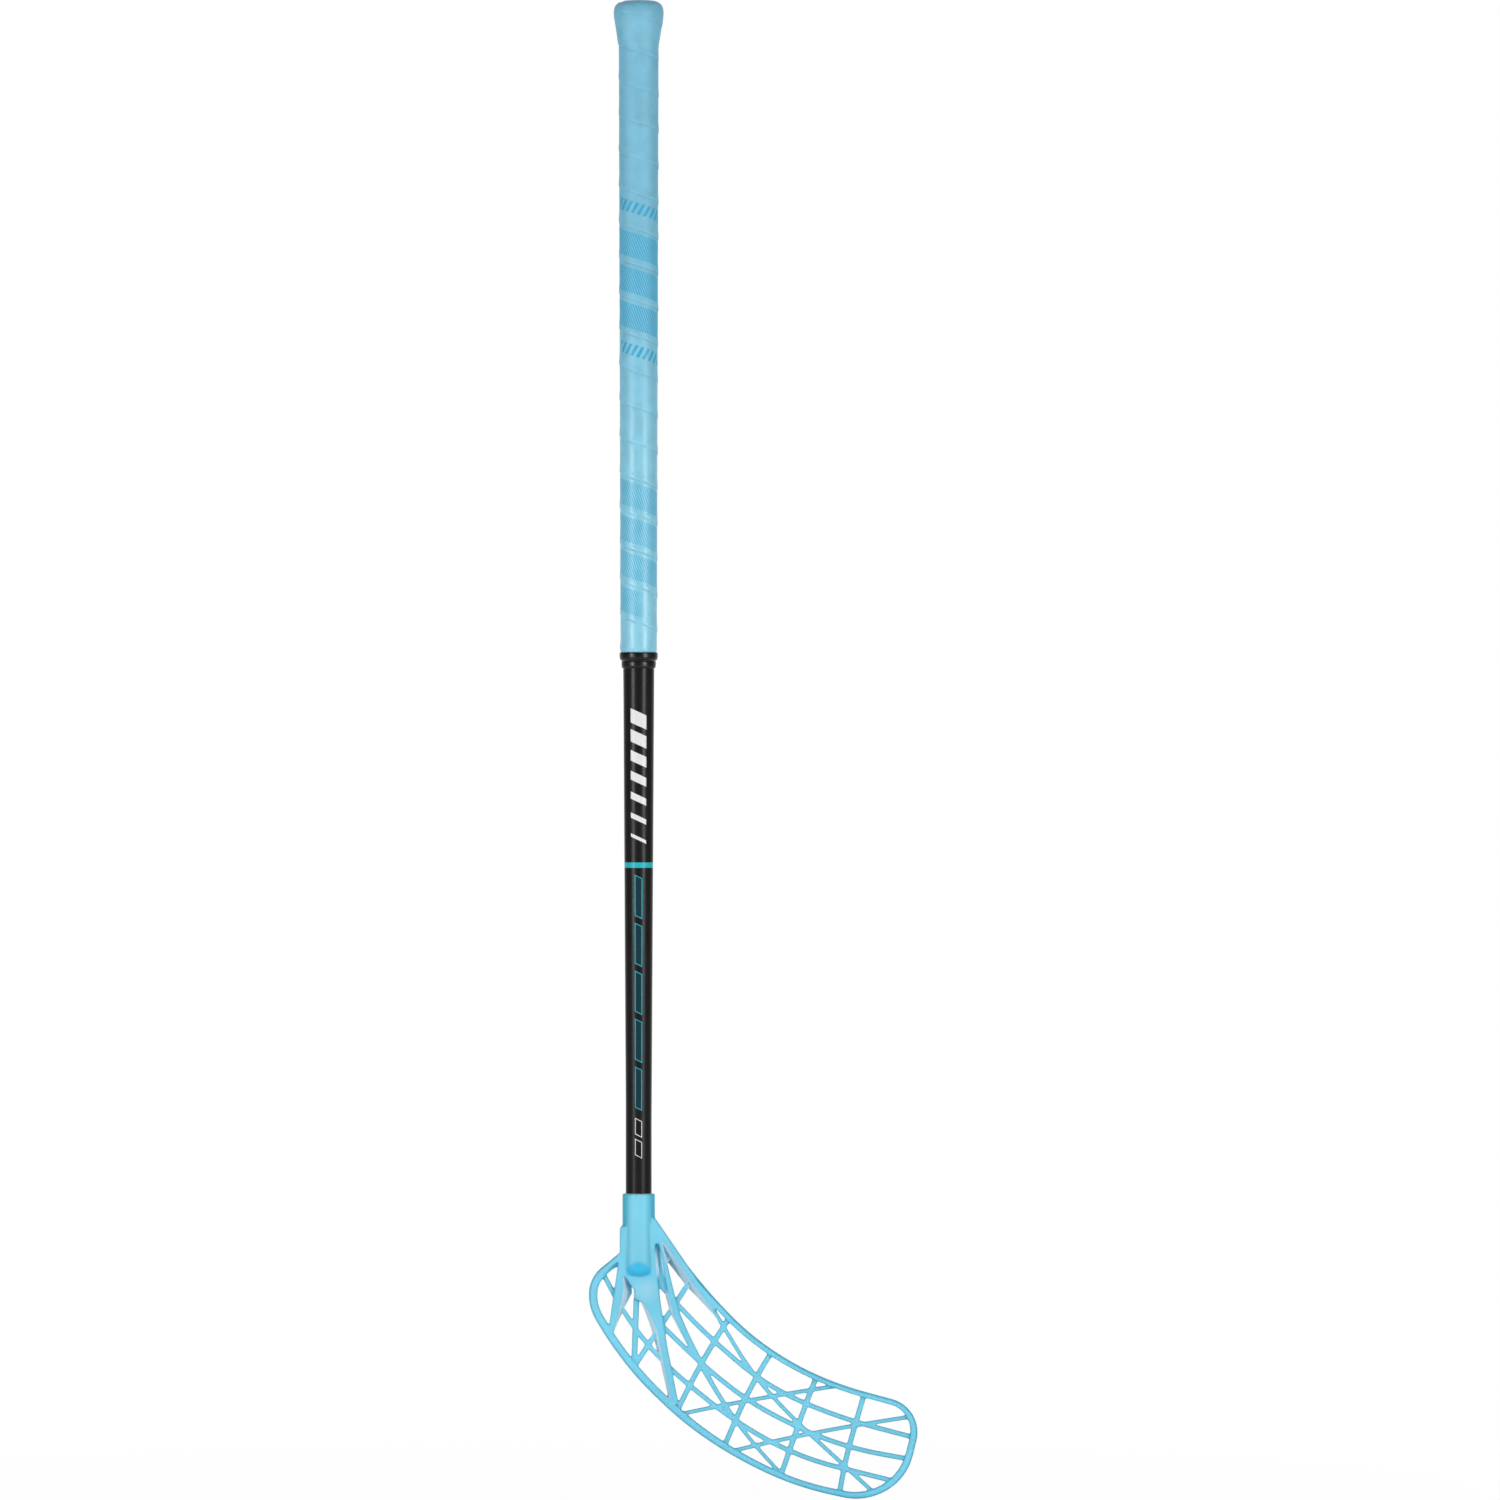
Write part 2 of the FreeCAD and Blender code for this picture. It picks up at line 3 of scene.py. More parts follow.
import bmesh
import bpy
import numpy as np
from bpy.props import FloatProperty, FloatVectorProperty, IntProperty, PointerProperty
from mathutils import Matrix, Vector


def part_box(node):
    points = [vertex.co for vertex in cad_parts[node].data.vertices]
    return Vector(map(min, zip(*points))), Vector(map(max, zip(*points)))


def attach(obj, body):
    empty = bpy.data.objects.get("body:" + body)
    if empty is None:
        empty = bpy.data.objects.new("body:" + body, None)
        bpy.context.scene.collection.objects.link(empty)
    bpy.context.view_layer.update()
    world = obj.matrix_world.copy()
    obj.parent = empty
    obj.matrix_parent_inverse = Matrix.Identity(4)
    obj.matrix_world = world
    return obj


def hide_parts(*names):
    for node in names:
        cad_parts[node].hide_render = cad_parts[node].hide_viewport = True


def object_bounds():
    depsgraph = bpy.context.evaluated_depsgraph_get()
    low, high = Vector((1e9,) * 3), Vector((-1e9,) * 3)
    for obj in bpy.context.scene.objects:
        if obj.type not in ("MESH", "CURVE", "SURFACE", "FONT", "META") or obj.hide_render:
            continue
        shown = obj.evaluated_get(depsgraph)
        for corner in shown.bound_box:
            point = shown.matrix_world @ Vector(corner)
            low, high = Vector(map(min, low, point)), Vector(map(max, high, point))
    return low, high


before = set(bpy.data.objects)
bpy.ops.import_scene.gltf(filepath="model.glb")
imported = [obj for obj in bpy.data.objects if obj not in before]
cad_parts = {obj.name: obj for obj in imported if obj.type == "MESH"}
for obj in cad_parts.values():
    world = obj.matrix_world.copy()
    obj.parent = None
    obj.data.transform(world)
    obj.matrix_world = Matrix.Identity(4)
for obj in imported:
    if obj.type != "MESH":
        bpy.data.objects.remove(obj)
CAD_LOW, CAD_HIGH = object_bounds()
GRIP_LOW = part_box("grip_tape")[0]
COLLAR_LOW, COLLAR_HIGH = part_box("grip_collar")
BLADE_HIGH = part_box("blade")[1]

bl_info = {
    "name": "Floorball Stick Looks",
    "version": (1, 0, 0),
    "blender": (4, 5, 0),
    "location": "View3D > Sidebar > Stick",
    "description": "Wound grip, rubber collar, lacquered shaft and moulded blade around the packed model",
    "category": "Object",
}

MM = 0.001


# Properties


def length(name, default, description):
    """Length property in metres."""
    return FloatProperty(name=name, default=default, description=description, unit="LENGTH", precision=5)


def colour(name, default, description):
    """Colour property, written as the eye sees it and stored as linear light."""
    linear = tuple(to_linear(c) for c in default)
    return FloatVectorProperty(
        name=name, default=linear, description=description, subtype="COLOR", size=3, min=0, max=1)


def to_linear(value):
    """Linear light of one colour channel from 0 to 255."""
    share = value / 255
    if share <= 0.04045:
        return share / 12.92
    return ((share + 0.055) / 1.055) ** 2.4


class StickShaftSettings(bpy.types.PropertyGroup):
    """Sizes and colours of the shaft."""
    butt_diameter: length("Butt diameter", 0.0264, "Tube diameter under the knob")
    waist_diameter: length("Waist diameter", 0.0236, "Tube diameter under the collar")
    waist_z: length("Waist height", -0.505, "Where the first taper of the tube ends")
    lacquer: colour("Lacquer", (18, 18, 19), "Satin black lacquer")
    stripe: colour("Stripe", (38, 176, 190), "Ring stripe and outlined bars")
    bar_fill: colour("Bar fill", (10, 52, 64), "Inside of the outlined bars")
    white: colour("White print", (222, 223, 224), "Slanted bars")


class StickGripSettings(bpy.types.PropertyGroup):
    """Sizes and colours of the wound grip."""
    pitch: length("Pitch", 0.0271, "Distance from one turn of the strip to the next")
    top_z: length("Seam top", -0.0015, "Height at which the seam starts on the left side")
    overlap: length("Overlap", 0.0034, "How far a turn lies over the next one")
    thick: length("Thickness", 0.0019, "Thickness of the cushioned strip")
    turn_steps: IntProperty(name="Steps", default=72, min=24, description="Rings of points in one turn")
    light: colour("Light blue", (136, 204, 226), "Strip colour at the lower end")
    deep: colour("Deep blue", (116, 186, 212), "Strip colour at the butt")
    ink: colour("Ink", (30, 162, 204), "Printed lines and bars")


class StickCollarSettings(bpy.types.PropertyGroup):
    """Sizes and colours of the rubber collar and the tape under it."""
    lip_radius: length("Lip radius", 0.01455, "Widest radius of the upper bead")
    bead_radius: length("Bead radius", 0.01312, "Widest radius of the lower bead")
    rubber: colour("Rubber", (11, 11, 12), "Black rubber")
    tape: colour("Tape", (30, 31, 33), "Finishing tape")


class StickBladeSettings(bpy.types.PropertyGroup):
    """Sizes and colours of the blade and its small parts."""
    voxel: length("Voxel", 0.00045, "Cell of the rebuilt moulding")
    rounding: IntProperty(
        name="Rounding", default=28, min=0, description="Passes that round the moulded edges")
    # Lit and shaded copies of one plastic: the first colour holds a painted sheen on square-on faces, and
    # the edge colour is painted shade on edge-on faces.
    plastic: colour("Plastic", (122, 208, 234), "Moulded plastic, seen square on")
    edge: colour("Edge", (48, 178, 208), "Moulded plastic where a surface turns edge-on")
    # Painted shade: the greyer, darker colour of slender ribs stands in for the shade that falls on them.
    thin: colour("Thin ribs", (120, 196, 214), "Greyer colour of the thin ribs")
    socket_end: length("Socket end", -0.963, "Height of the closed end of the socket")
    # Painted shade: the deeper colour at the closed end of the socket stands in for the shade on its rounded
    # end, which faces down.
    thick: colour("Socket end shade", (52, 192, 236), "Deeper colour of the closed end of the socket")
    # Painted light: the pale colour of the neck walls, and of the place below the socket end, stands in for
    # light that comes through the thin plastic.
    wall: colour("Walls", (202, 228, 241), "Thin walls of the neck, where light comes through")
    glue: colour("Adhesive", (214, 205, 178), "Hot-melt film at the socket")
    steel: colour("Steel", (176, 178, 180), "Zinc-plated screws")
    knob: colour("Knob", (34, 34, 36), "Plug at the butt end")


class StickStageSettings(bpy.types.PropertyGroup):
    """Camera, floor and lamps."""
    distance: length("Camera distance", 8.0, "From the shaft to the camera")
    field: length("Field", 1.14, "Width of the picture at the shaft")
    centre_x: length("Centre across", 0.0846, "Picture centre, across")
    centre_z: length("Centre height", -0.565, "Picture centre, height")
    key: FloatProperty(name="Softboxes", default=22.0, description="Power of each softbox", subtype="POWER")
    key_turn: FloatProperty(
        name="Softbox turn", default=math.radians(42), description="Angle of each softbox from the camera",
        subtype="ANGLE")
    key_distance: length("Softbox distance", 2.4, "From the shaft to each softbox")
    key_z: length("Softbox height", -0.45, "Height of the middle of each softbox")
    fill: FloatProperty(name="Fill", default=0.36, description="Strength of the surroundings")
    room: FloatProperty(
        name="Room", default=0.15, description="Strength of the room behind the camera, in gloss")


# Mesh tools


def smooth_step(low, high, value):
    """Rises from 0 to 1 between low and high, with level ends."""
    share = np.clip((value - low) / (high - low), 0, 1)
    return share * share * (3 - 2 * share)


def grid_faces(rows, columns, round_rows, round_columns):
    """Quads between neighbours of a grid of points, closed on itself where asked."""
    index = np.arange(rows * columns).reshape(rows, columns)
    if round_rows:
        index = np.vstack([index, index[:1]])
    if round_columns:
        index = np.hstack([index, index[:, :1]])
    corners = [index[:-1, :-1], index[1:, :-1], index[1:, 1:], index[:-1, 1:]]
    return np.stack([c.ravel() for c in corners], axis=1)


def new_piece(name, points, faces, material, body, replaced):
    """Object from an array of points in metres and a list of faces, smooth shaded, riding on its body."""
    mesh = bpy.data.meshes.new(name)
    mesh.from_pydata(points.tolist(), [], faces)
    mesh.polygons.foreach_set("use_smooth", np.ones(len(mesh.polygons), bool))
    mesh.update()
    return place(name, mesh, material, body, replaced)


def place(name, mesh, material, body, replaced):
    """Object for a mesh: linked, finished with its material and tied to the frame."""
    made = bpy.data.objects.new(name, mesh)
    bpy.context.scene.collection.objects.link(made)
    mesh.materials.clear()
    mesh.materials.append(material)
    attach(made, body)
    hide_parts(*replaced)
    return made


def finish_node(name, material):
    """Material for a CAD node that keeps its own shape."""
    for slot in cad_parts[name].material_slots:
        slot.material = material


def turned(profile, steps):
    """Surface of revolution: each (radius, height) of a closed profile goes once round the shaft."""
    angle = np.linspace(0, 2 * np.pi, steps, endpoint=False)
    radius, height = np.asarray(profile).T
    points = np.stack([
        np.outer(radius, np.cos(angle)), np.outer(radius, np.sin(angle)),
        np.outer(height, np.ones(steps))], axis=-1)
    return points.reshape(-1, 3), grid_faces(len(radius), steps, True, True).tolist()


def rounded_profile(corners, spacing, window):
    """Closed profile with even spacing, each corner softened by a running mean."""
    loop = np.vstack([corners, corners[:1]])
    run = np.concatenate([[0], np.cumsum(np.linalg.norm(np.diff(loop, axis=0), axis=1))])
    count = int(run[-1] / spacing)
    at = np.linspace(0, run[-1], count, endpoint=False)
    line = np.stack([np.interp(at, run, loop[:, i]) for i in (0, 1)], axis=1)
    half = max(1, int(window / spacing / 2))
    return np.mean([np.roll(line, k, axis=0) for k in range(-half, half + 1)], axis=0)


# Material tools


# The noise of the grain varies around this value, and most of it lies between the two others.
NOISE_MIDDLE = 0.5
NOISE_LOW = 0.3
NOISE_HIGH = 0.7


def add(tree, kind, inputs=None, **settings):
    """New node with its settings, its values and its links."""
    made = tree.nodes.new(kind)
    for key, value in settings.items():
        setattr(made, key, value)
    for socket, value in (inputs or {}).items():
        if isinstance(value, bpy.types.NodeSocket):
            tree.links.new(value, made.inputs[socket])
        else:
            made.inputs[socket].default_value = value
    return made


def maths(tree, operation, *values):
    """Output of a Math node."""
    return add(tree, "ShaderNodeMath", dict(enumerate(values)), operation=operation).outputs[0]


def ramp(tree, value, low, high, start=0.0, end=1.0):
    """Smooth rise from start to end while value goes from low to high."""
    made = add(tree, "ShaderNodeMapRange", {
        "Value": value, "From Min": low, "From Max": high, "To Min": start, "To Max": end},
        interpolation_type="SMOOTHSTEP")
    return made.outputs["Result"]


def mixed(tree, share, one, two):
    """Colour between one and two."""
    made = add(tree, "ShaderNodeMix", {"Factor": share, 6: one, 7: two}, data_type="RGBA")
    return made.outputs[2]


def rgba(values):
    """Colour of a property with full opacity."""
    return (values[0], values[1], values[2], 1.0)


def new_material(name, **values):
    """Material with one Principled shader, whose plain values are set on its own sockets."""
    made = bpy.data.materials.new(name)
    made.use_nodes = True
    shader = made.node_tree.nodes["Principled BSDF"]
    for socket, value in values.items():
        shader.inputs[socket.replace("_", " ")].default_value = value
    made.diffuse_color = tuple(shader.inputs["Base Color"].default_value)
    return made, made.node_tree, shader


def grain_group():
    """Shared surface grain: a fine and a broad noise, as a height, a tone and a roughness shift."""
    name = "Surface grain"
    if name in bpy.data.node_groups:
        return bpy.data.node_groups[name]
    tree = bpy.data.node_groups.new(name, "ShaderNodeTree")
    for socket, kind in (("Vector", "Vector"), ("Fine scale", "Float"), ("Broad scale", "Float")):
        tree.interface.new_socket(socket, in_out="INPUT", socket_type="NodeSocket" + kind)
    for socket in ("Height", "Tone", "Shift"):
        tree.interface.new_socket(socket, in_out="OUTPUT", socket_type="NodeSocketFloat")
    enter = add(tree, "NodeGroupInput")
    leave = add(tree, "NodeGroupOutput")
    fine = add(tree, "ShaderNodeTexNoise", {
        "Vector": enter.outputs["Vector"], "Scale": enter.outputs["Fine scale"],
        "Detail": 3.0, "Roughness": 0.6})
    broad = add(tree, "ShaderNodeTexNoise", {
        "Vector": enter.outputs["Vector"], "Scale": enter.outputs["Broad scale"],
        "Detail": 2.0, "Roughness": 0.5})
    tree.links.new(fine.outputs[0], leave.inputs["Height"])
    tree.links.new(broad.outputs[0], leave.inputs["Tone"])
    centred = maths(tree, "SUBTRACT", broad.outputs[0], NOISE_MIDDLE)
    tree.links.new(centred, leave.inputs["Shift"])
    return tree


def grain(tree, vector, fine, broad):
    """The shared grain, placed with its own scales."""
    values = {"Vector": vector, "Fine scale": fine, "Broad scale": broad}
    return add(tree, "ShaderNodeGroup", values, node_tree=grain_group()).outputs


def toned(tree, texture, tint, dark, light, noise_high=NOISE_HIGH):
    """Colour times a tone that goes from dark to light with the broad noise of the grain."""
    tone = ramp(tree, texture["Tone"], NOISE_LOW, noise_high, dark, light)
    made = add(
        tree, "ShaderNodeMix", {"Factor": 1.0, 6: tint, 7: tone}, data_type="RGBA", blend_type="MULTIPLY")
    return made.outputs[2]


def roughened(tree, shader, texture, change, middle=None):
    """Roughness that varies with the broad noise of the grain, around the shader's own value or another."""
    if middle is None:
        middle = shader.inputs["Roughness"].default_value
    shift = maths(tree, "MULTIPLY", texture["Shift"], change)
    tree.links.new(maths(tree, "ADD", shift, middle), shader.inputs["Roughness"])


def bump(tree, shader, height, distance, strength=1.0):
    """Small relief from a height between 0 and 1."""
    made = add(tree, "ShaderNodeBump", {"Height": height, "Distance": distance, "Strength": strength})
    tree.links.new(made.outputs[0], shader.inputs["Normal"])


def object_place(tree):
    """Object coordinates of the shaded point."""
    return add(tree, "ShaderNodeTexCoord").outputs["Object"]


def distance_to(tree, where, point):
    """Distance from a changing place to one point."""
    return add(tree, "ShaderNodeVectorMath", {0: where, 1: point}, operation="DISTANCE").outputs["Value"]


# Grip


# Knob under the strip, in mm, with the gap that the strip keeps from it and from the tube.
HEAD_RADIUS = 17.0
HEAD_TOP = 2.2
HEAD_ROUND = 5.5
HEAD_LOW = -7.0
BOSS_RADIUS = 10.1
SKIRT_END = (13.96, -26.0)
TUBE_TOP = -30.0
STRIP_GAP = 0.08

# Spacing of the line under the strip, in mm, and how many points on each side a running mean takes in.
LINE_SPACING = 0.25
LINE_MEAN = 8


def under_strip(shaft):
    """Line that the strip lies on, from the top of the knob over its flare and down the tube.

    Returns run length, points (radius, height) and outward normals, in mm."""
    turn = np.linspace(np.pi / 2, 0, 9)
    centre = np.array([HEAD_RADIUS - HEAD_ROUND, HEAD_TOP - HEAD_ROUND])
    head = centre + (HEAD_ROUND + STRIP_GAP) * np.stack([np.cos(turn), np.sin(turn)], axis=1)
    low = GRIP_LOW.z / MM
    waist = shaft.waist_z / MM
    slope = (shaft.waist_diameter - shaft.butt_diameter) / 2 / MM / waist

    def tube(z):
        return shaft.butt_diameter / 2 / MM + slope * z + STRIP_GAP

    corners = np.vstack([
        [(BOSS_RADIUS, HEAD_TOP + STRIP_GAP)], head, [(HEAD_RADIUS + STRIP_GAP, HEAD_LOW), SKIRT_END],
        [(tube(TUBE_TOP), TUBE_TOP), (tube(low), low)]])
    run = np.concatenate([[0], np.cumsum(np.linalg.norm(np.diff(corners, axis=0), axis=1))])
    at = np.arange(0, run[-1], LINE_SPACING)
    line = np.stack([np.interp(at, run, corners[:, i]) for i in (0, 1)], axis=1)
    half = LINE_MEAN
    padded = np.vstack([2 * line[0] - line[half:0:-1], line, 2 * line[-1] - line[-2:-half - 2:-1]])
    soft = np.mean([padded[k:k + len(line)] for k in range(2 * half + 1)], axis=0)
    along = np.gradient(soft, axis=0)
    along /= np.linalg.norm(along, axis=1)[:, None]
    normal = np.stack([-along[:, 1], along[:, 0]], axis=1)
    run = np.concatenate([[0], np.cumsum(np.linalg.norm(np.diff(soft, axis=0), axis=1))])
    return run, soft, normal


# Cross-section of the strip as (distance in mm, share of the thickness): the outer face near the lower edge,
# which lies over the next turn, the outer face near the tucked upper edge, and the inner face.
UNDERSIDE = 0.03
LIP_OUT = [
    (0.0, 0.97), (0.1, 1.02), (0.35, 1.09), (0.75, 1.15), (1.3, 1.185), (2.0, 1.2), (2.9, 1.195),
    (4.0, 1.165), (5.2, 1.115), (6.6, 1.06), (8.2, 1.02), (10.0, 1.0), (11.5, 1.0), (13.0, 1.0)]
TUCK_OUT = [
    (-15.5, 1.0), (-14.0, 1.0), (-12.5, 1.0), (-11.0, 1.0), (-9.5, 1.0), (-7.9, 1.0), (-6.2, 1.0),
    (-4.6, 0.985), (-3.7, 0.95), (-2.9, 0.84), (-1.6, 0.62), (-0.5, 0.5), (0.0, 0.4), (0.1, 0.25),
    (0.0, UNDERSIDE)]
TUCK_UNDER = [(-2.0, UNDERSIDE), (-8.0, UNDERSIDE)]
LIP_UNDER = [(8.0, UNDERSIDE), (4.4, UNDERSIDE), (4.0, 0.3), (3.5, 0.56), (1.5, 0.72), (0.5, 0.9)]

# Width in mm below which the section is squeezed, and height of the lower edge where it lies flat.
FULL_WIDTH = 29
FLAT_EDGE = 0.3


def strip_section(width, lip, tucked):
    """Closed cross-sections for arrays of widths, of lips (0 flat, 1 full) and of tucked shares.

    Rows are rings, with distances from the lower edge and heights."""
    squeeze = np.minimum(1, width / FULL_WIDTH)[:, None]
    tuck_squeeze = np.minimum(squeeze, tucked[:, None])
    outer, tuck, below, lift = (np.array(part) for part in (LIP_OUT, TUCK_OUT, TUCK_UNDER, LIP_UNDER))
    across = np.hstack([
        outer[:, 0] * squeeze, width[:, None] + tuck[:, 0] * tuck_squeeze,
        width[:, None] + below[:, 0] * squeeze, lift[:, 0] * squeeze])
    flat_lift = np.full(len(lift), UNDERSIDE)
    flat = np.concatenate([np.minimum(outer[:, 1], 1), tuck[:, 1], below[:, 1], flat_lift])
    flat[0] = FLAT_EDGE
    full = np.concatenate([outer[:, 1], tuck[:, 1], below[:, 1], lift[:, 1]])
    height = flat + (full - flat) * lip[:, None]
    return across, height


# The winding: the turn at which it starts and the part of a turn by which it stops short, its least width in
# mm and least tuck at its ends, how the first seam bends, and how much thicker the strip starts.
FIRST_TURN = -1.98
STOP_SHORT = 0.08
LEAST_WIDTH = 0.6
LEAST_TUCK = 0.04
START_BEND = 1.3
START_SWELL = 0.04

# Heights in mm between which the strip thins under the collar, and by what share.
THIN_TOP = -489.4
THIN_LOW = -491.4
THINNED = 0.36

# Slow change of the lip along the strip, as a share, and ripple of its outer face, in mm.
LIP_CHANGE = 0.22
RIPPLE = 0.035


def strip_lip(turn, end_turn):
    """How far the lower edge stands up: it rises over the first turns and is flat in the last one.

    Between them two sine waves along the strip make it change a little."""
    lip = 0.6 * smooth_step(-1.0, -0.4, turn) + 0.4 * smooth_step(0.5, 2.5, turn)
    lip *= 1 - smooth_step(end_turn - 1.1, end_turn - 0.95, turn)
    return lip * (1 + LIP_CHANGE * np.sin(2.3 * turn) * np.sin(7.1 * turn + 1))


def wound_strip(grip, shaft):
    """One strip wound down the grip: its cross-section is carried along a left-handed helix.

    The lower edge drops by one pitch each turn and lies over the upper edge of the next turn; the strip
    narrows at both ends. Returns points, faces, turns and distances from the lower edge."""
    run, line, normal = under_strip(shaft)
    pitch = grip.pitch / MM
    thick = grip.thick / MM
    top = grip.top_z / MM

    def run_at(z):
        return np.interp(-z, -line[:, 1], run)

    start_run = run_at(np.array([top]))[0]

    def seam(turn):
        ramped = start_run * np.clip(turn + 1, 0, 1) ** START_BEND
        return np.where(turn < 0, ramped, run_at(top - pitch * np.maximum(turn, 0)))

    end_turn = (top - line[-1, 1]) / pitch - STOP_SHORT
    turn = np.linspace(FIRST_TURN, end_turn, int((end_turn - FIRST_TURN) * grip.turn_steps))
    lower = seam(turn + 1)
    tucked = np.minimum(seam(turn), grip.overlap / MM)
    width = np.maximum(lower - seam(turn) + tucked, LEAST_WIDTH)
    tucked_share = np.maximum(tucked * MM / grip.overlap, LEAST_TUCK)
    across, height = strip_section(width, strip_lip(turn, end_turn), tucked_share)
    at = np.clip(lower[:, None] - across, 0, run[-1])
    start_thick = 1 + START_SWELL * (1 - smooth_step(-1.4, -0.6, turn))
    z_here = np.interp(at, run, line[:, 1])
    end_thin = 1 - THINNED * smooth_step(THIN_TOP, THIN_LOW, z_here)
    angle = np.pi + 2 * np.pi * turn[:, None]
    wave = RIPPLE * np.sin(2 * angle + 0.31 * at) * np.sin(0.23 * at + angle)
    height = height * thick * start_thick[:, None] * end_thin + wave * (height > 0.5)
    radius = np.interp(at, run, line[:, 0]) + height * np.interp(at, run, normal[:, 0])
    z = z_here + height * np.interp(at, run, normal[:, 1])
    points = np.stack([radius * np.cos(angle), radius * np.sin(angle), z], axis=-1) * MM
    rings, count = across.shape
    faces = grid_faces(rings, count, False, True)[:, ::-1].tolist()
    faces.append(list(range(count - 1, -1, -1)))
    faces.append(list(range((rings - 1) * count, rings * count)))
    return points.reshape(-1, 3), faces, turn, across


# Prints on the strip: ranges of turns along it, ranges across it in metres from its lower edge, the pitch of
# their lines in metres, the inked share of a pitch, and the slant of the lines. TURN_LENGTH is one turn.
TURN_LENGTH = 0.091
HATCH_TURNS = (5.95, 8.62)
FAINT_TURNS = (13.0, 16.2)
FAINT_SHARE = 0.75
HATCH_ACROSS = (0.0054, 0.0239)
HATCH_PITCH = 0.00207
HATCH_INKED = 0.56
HATCH_SLANT = 0.43
BAR_TURNS = [(4.75, 5.48), (9.08, 9.8)]
BAR_ACROSS = (0.0122, 0.0207)
BAR_PITCH = 0.0046
BAR_INKED = 0.5
BAR_SLANT = 0.5
STRIPE_SOFT = 0.04


def band(tree, value, low, high, soft):
    """1 where the value lies between low and high, falling to 0 over the length soft past each end."""
    rise = ramp(tree, value, low - soft, low)
    return maths(tree, "MULTIPLY", rise, ramp(tree, value, high, high + soft, 1.0, 0.0))


def stripes(tree, distance, pitch, share):
    """1 on parallel lines one pitch apart, each as wide as the given share of the pitch."""
    step = maths(tree, "FRACT", maths(tree, "DIVIDE", distance, pitch))
    from_middle = maths(tree, "ABSOLUTE", maths(tree, "SUBTRACT", step, 0.5))
    return ramp(tree, from_middle, share / 2 - STRIPE_SOFT, share / 2 + STRIPE_SOFT, 1.0, 0.0)


def grip_print(tree):
    """How much ink lies on the strip, how matt it is and how far each point lies from its lower edge.

    The ink makes two bands of fine slanted hatching and two rows of plain bars. Each print runs along the
    strip over a range of turns, between two distances from the lower edge."""
    strip = add(tree, "ShaderNodeSeparateXYZ", {0: add(tree, "ShaderNodeUVMap", uv_map="strip").outputs[0]})
    turn, across = strip.outputs["X"], strip.outputs["Y"]
    along = maths(tree, "MULTIPLY", turn, TURN_LENGTH)
    falling = maths(tree, "ADD", along, maths(tree, "MULTIPLY", across, HATCH_SLANT))
    faint = maths(tree, "MULTIPLY", band(tree, turn, *FAINT_TURNS, soft=0.15), FAINT_SHARE)
    hatched = maths(tree, "MAXIMUM", band(tree, turn, *HATCH_TURNS, soft=0.13), faint)
    matt = maths(tree, "MULTIPLY", hatched, band(tree, across, *HATCH_ACROSS, soft=0.0006))
    hatch = maths(tree, "MULTIPLY", matt, stripes(tree, falling, HATCH_PITCH, HATCH_INKED))
    rising = maths(tree, "SUBTRACT", along, maths(tree, "MULTIPLY", across, BAR_SLANT))
    lines = stripes(tree, rising, BAR_PITCH, BAR_INKED)
    bars = maths(tree, "MULTIPLY", band(tree, across, *BAR_ACROSS, soft=0.0004), lines)
    rows = maths(tree, "MAXIMUM", *(band(tree, turn, *turns, soft=0.01) for turns in BAR_TURNS))
    return maths(tree, "MAXIMUM", hatch, maths(tree, "MULTIPLY", bars, rows)), matt, across


# Heights in metres between which the strip turns light and glossier, and its roughness at both and on print.
LIGHT_LEVELS = (-0.16, -0.44)
GLOSS_LEVELS = (-0.16, -0.4)
GLOSS_ENDS = (0.56, 0.36)
PRINT_ROUGH = 0.58

# Relief of the strip, in metres, with creases that are finer down the shaft than across it, and where they
# are strong: in distances from the lower edge and in heights on the knob.
CREASE_SCALE = (48, 48, 360)
CREASE_DEPTH = 0.0012
CREASE_LIP = (0.0085, 0.0035)
CREASE_KNOB = (-0.06, -0.02)
PORE_DEPTH = 0.00004


def grip_material(grip):
    """Cushioned strip: soft blue with a slow change down the grip, fine pores and printed bands."""
    made, tree, shader = new_material(
        "Cushioned grip strip", Base_Color=rgba(grip.deep), Roughness=0.36, Specular_IOR_Level=0.65)
    here = object_place(tree)
    level = add(tree, "ShaderNodeSeparateXYZ", {0: here}).outputs["Z"]
    base = mixed(tree, ramp(tree, level, *LIGHT_LEVELS), rgba(grip.deep), rgba(grip.light))
    texture = grain(tree, here, fine=2600.0, broad=90.0)
    base = toned(tree, texture, base, 0.93, 1.04)
    ink, matt, across = grip_print(tree)
    tree.links.new(mixed(tree, ink, base, rgba(grip.ink)), shader.inputs["Base Color"])
    plain = ramp(tree, level, *GLOSS_LEVELS, *GLOSS_ENDS)
    dull = maths(tree, "MAXIMUM", plain, maths(tree, "MULTIPLY", matt, PRINT_ROUGH))
    roughened(tree, shader, texture, 0.2, dull)
    squeezed = add(tree, "ShaderNodeVectorMath", {0: here, 1: CREASE_SCALE}, operation="MULTIPLY").outputs[0]
    wrinkle = add(tree, "ShaderNodeTexNoise", {"Vector": squeezed, "Scale": 1.0, "Detail": 2.0}).outputs[0]
    near_lip = ramp(tree, across, *CREASE_LIP, 0.05, 0.4)
    on_knob = ramp(tree, level, *CREASE_KNOB, 0.0, 0.35)
    creased = maths(tree, "MULTIPLY", maths(tree, "ADD", near_lip, on_knob), CREASE_DEPTH)
    wrinkled = maths(tree, "MULTIPLY", wrinkle, creased)
    pores = maths(tree, "MULTIPLY", texture["Height"], PORE_DEPTH)
    bump(tree, shader, maths(tree, "ADD", wrinkled, pores), distance=1.0)
    return made


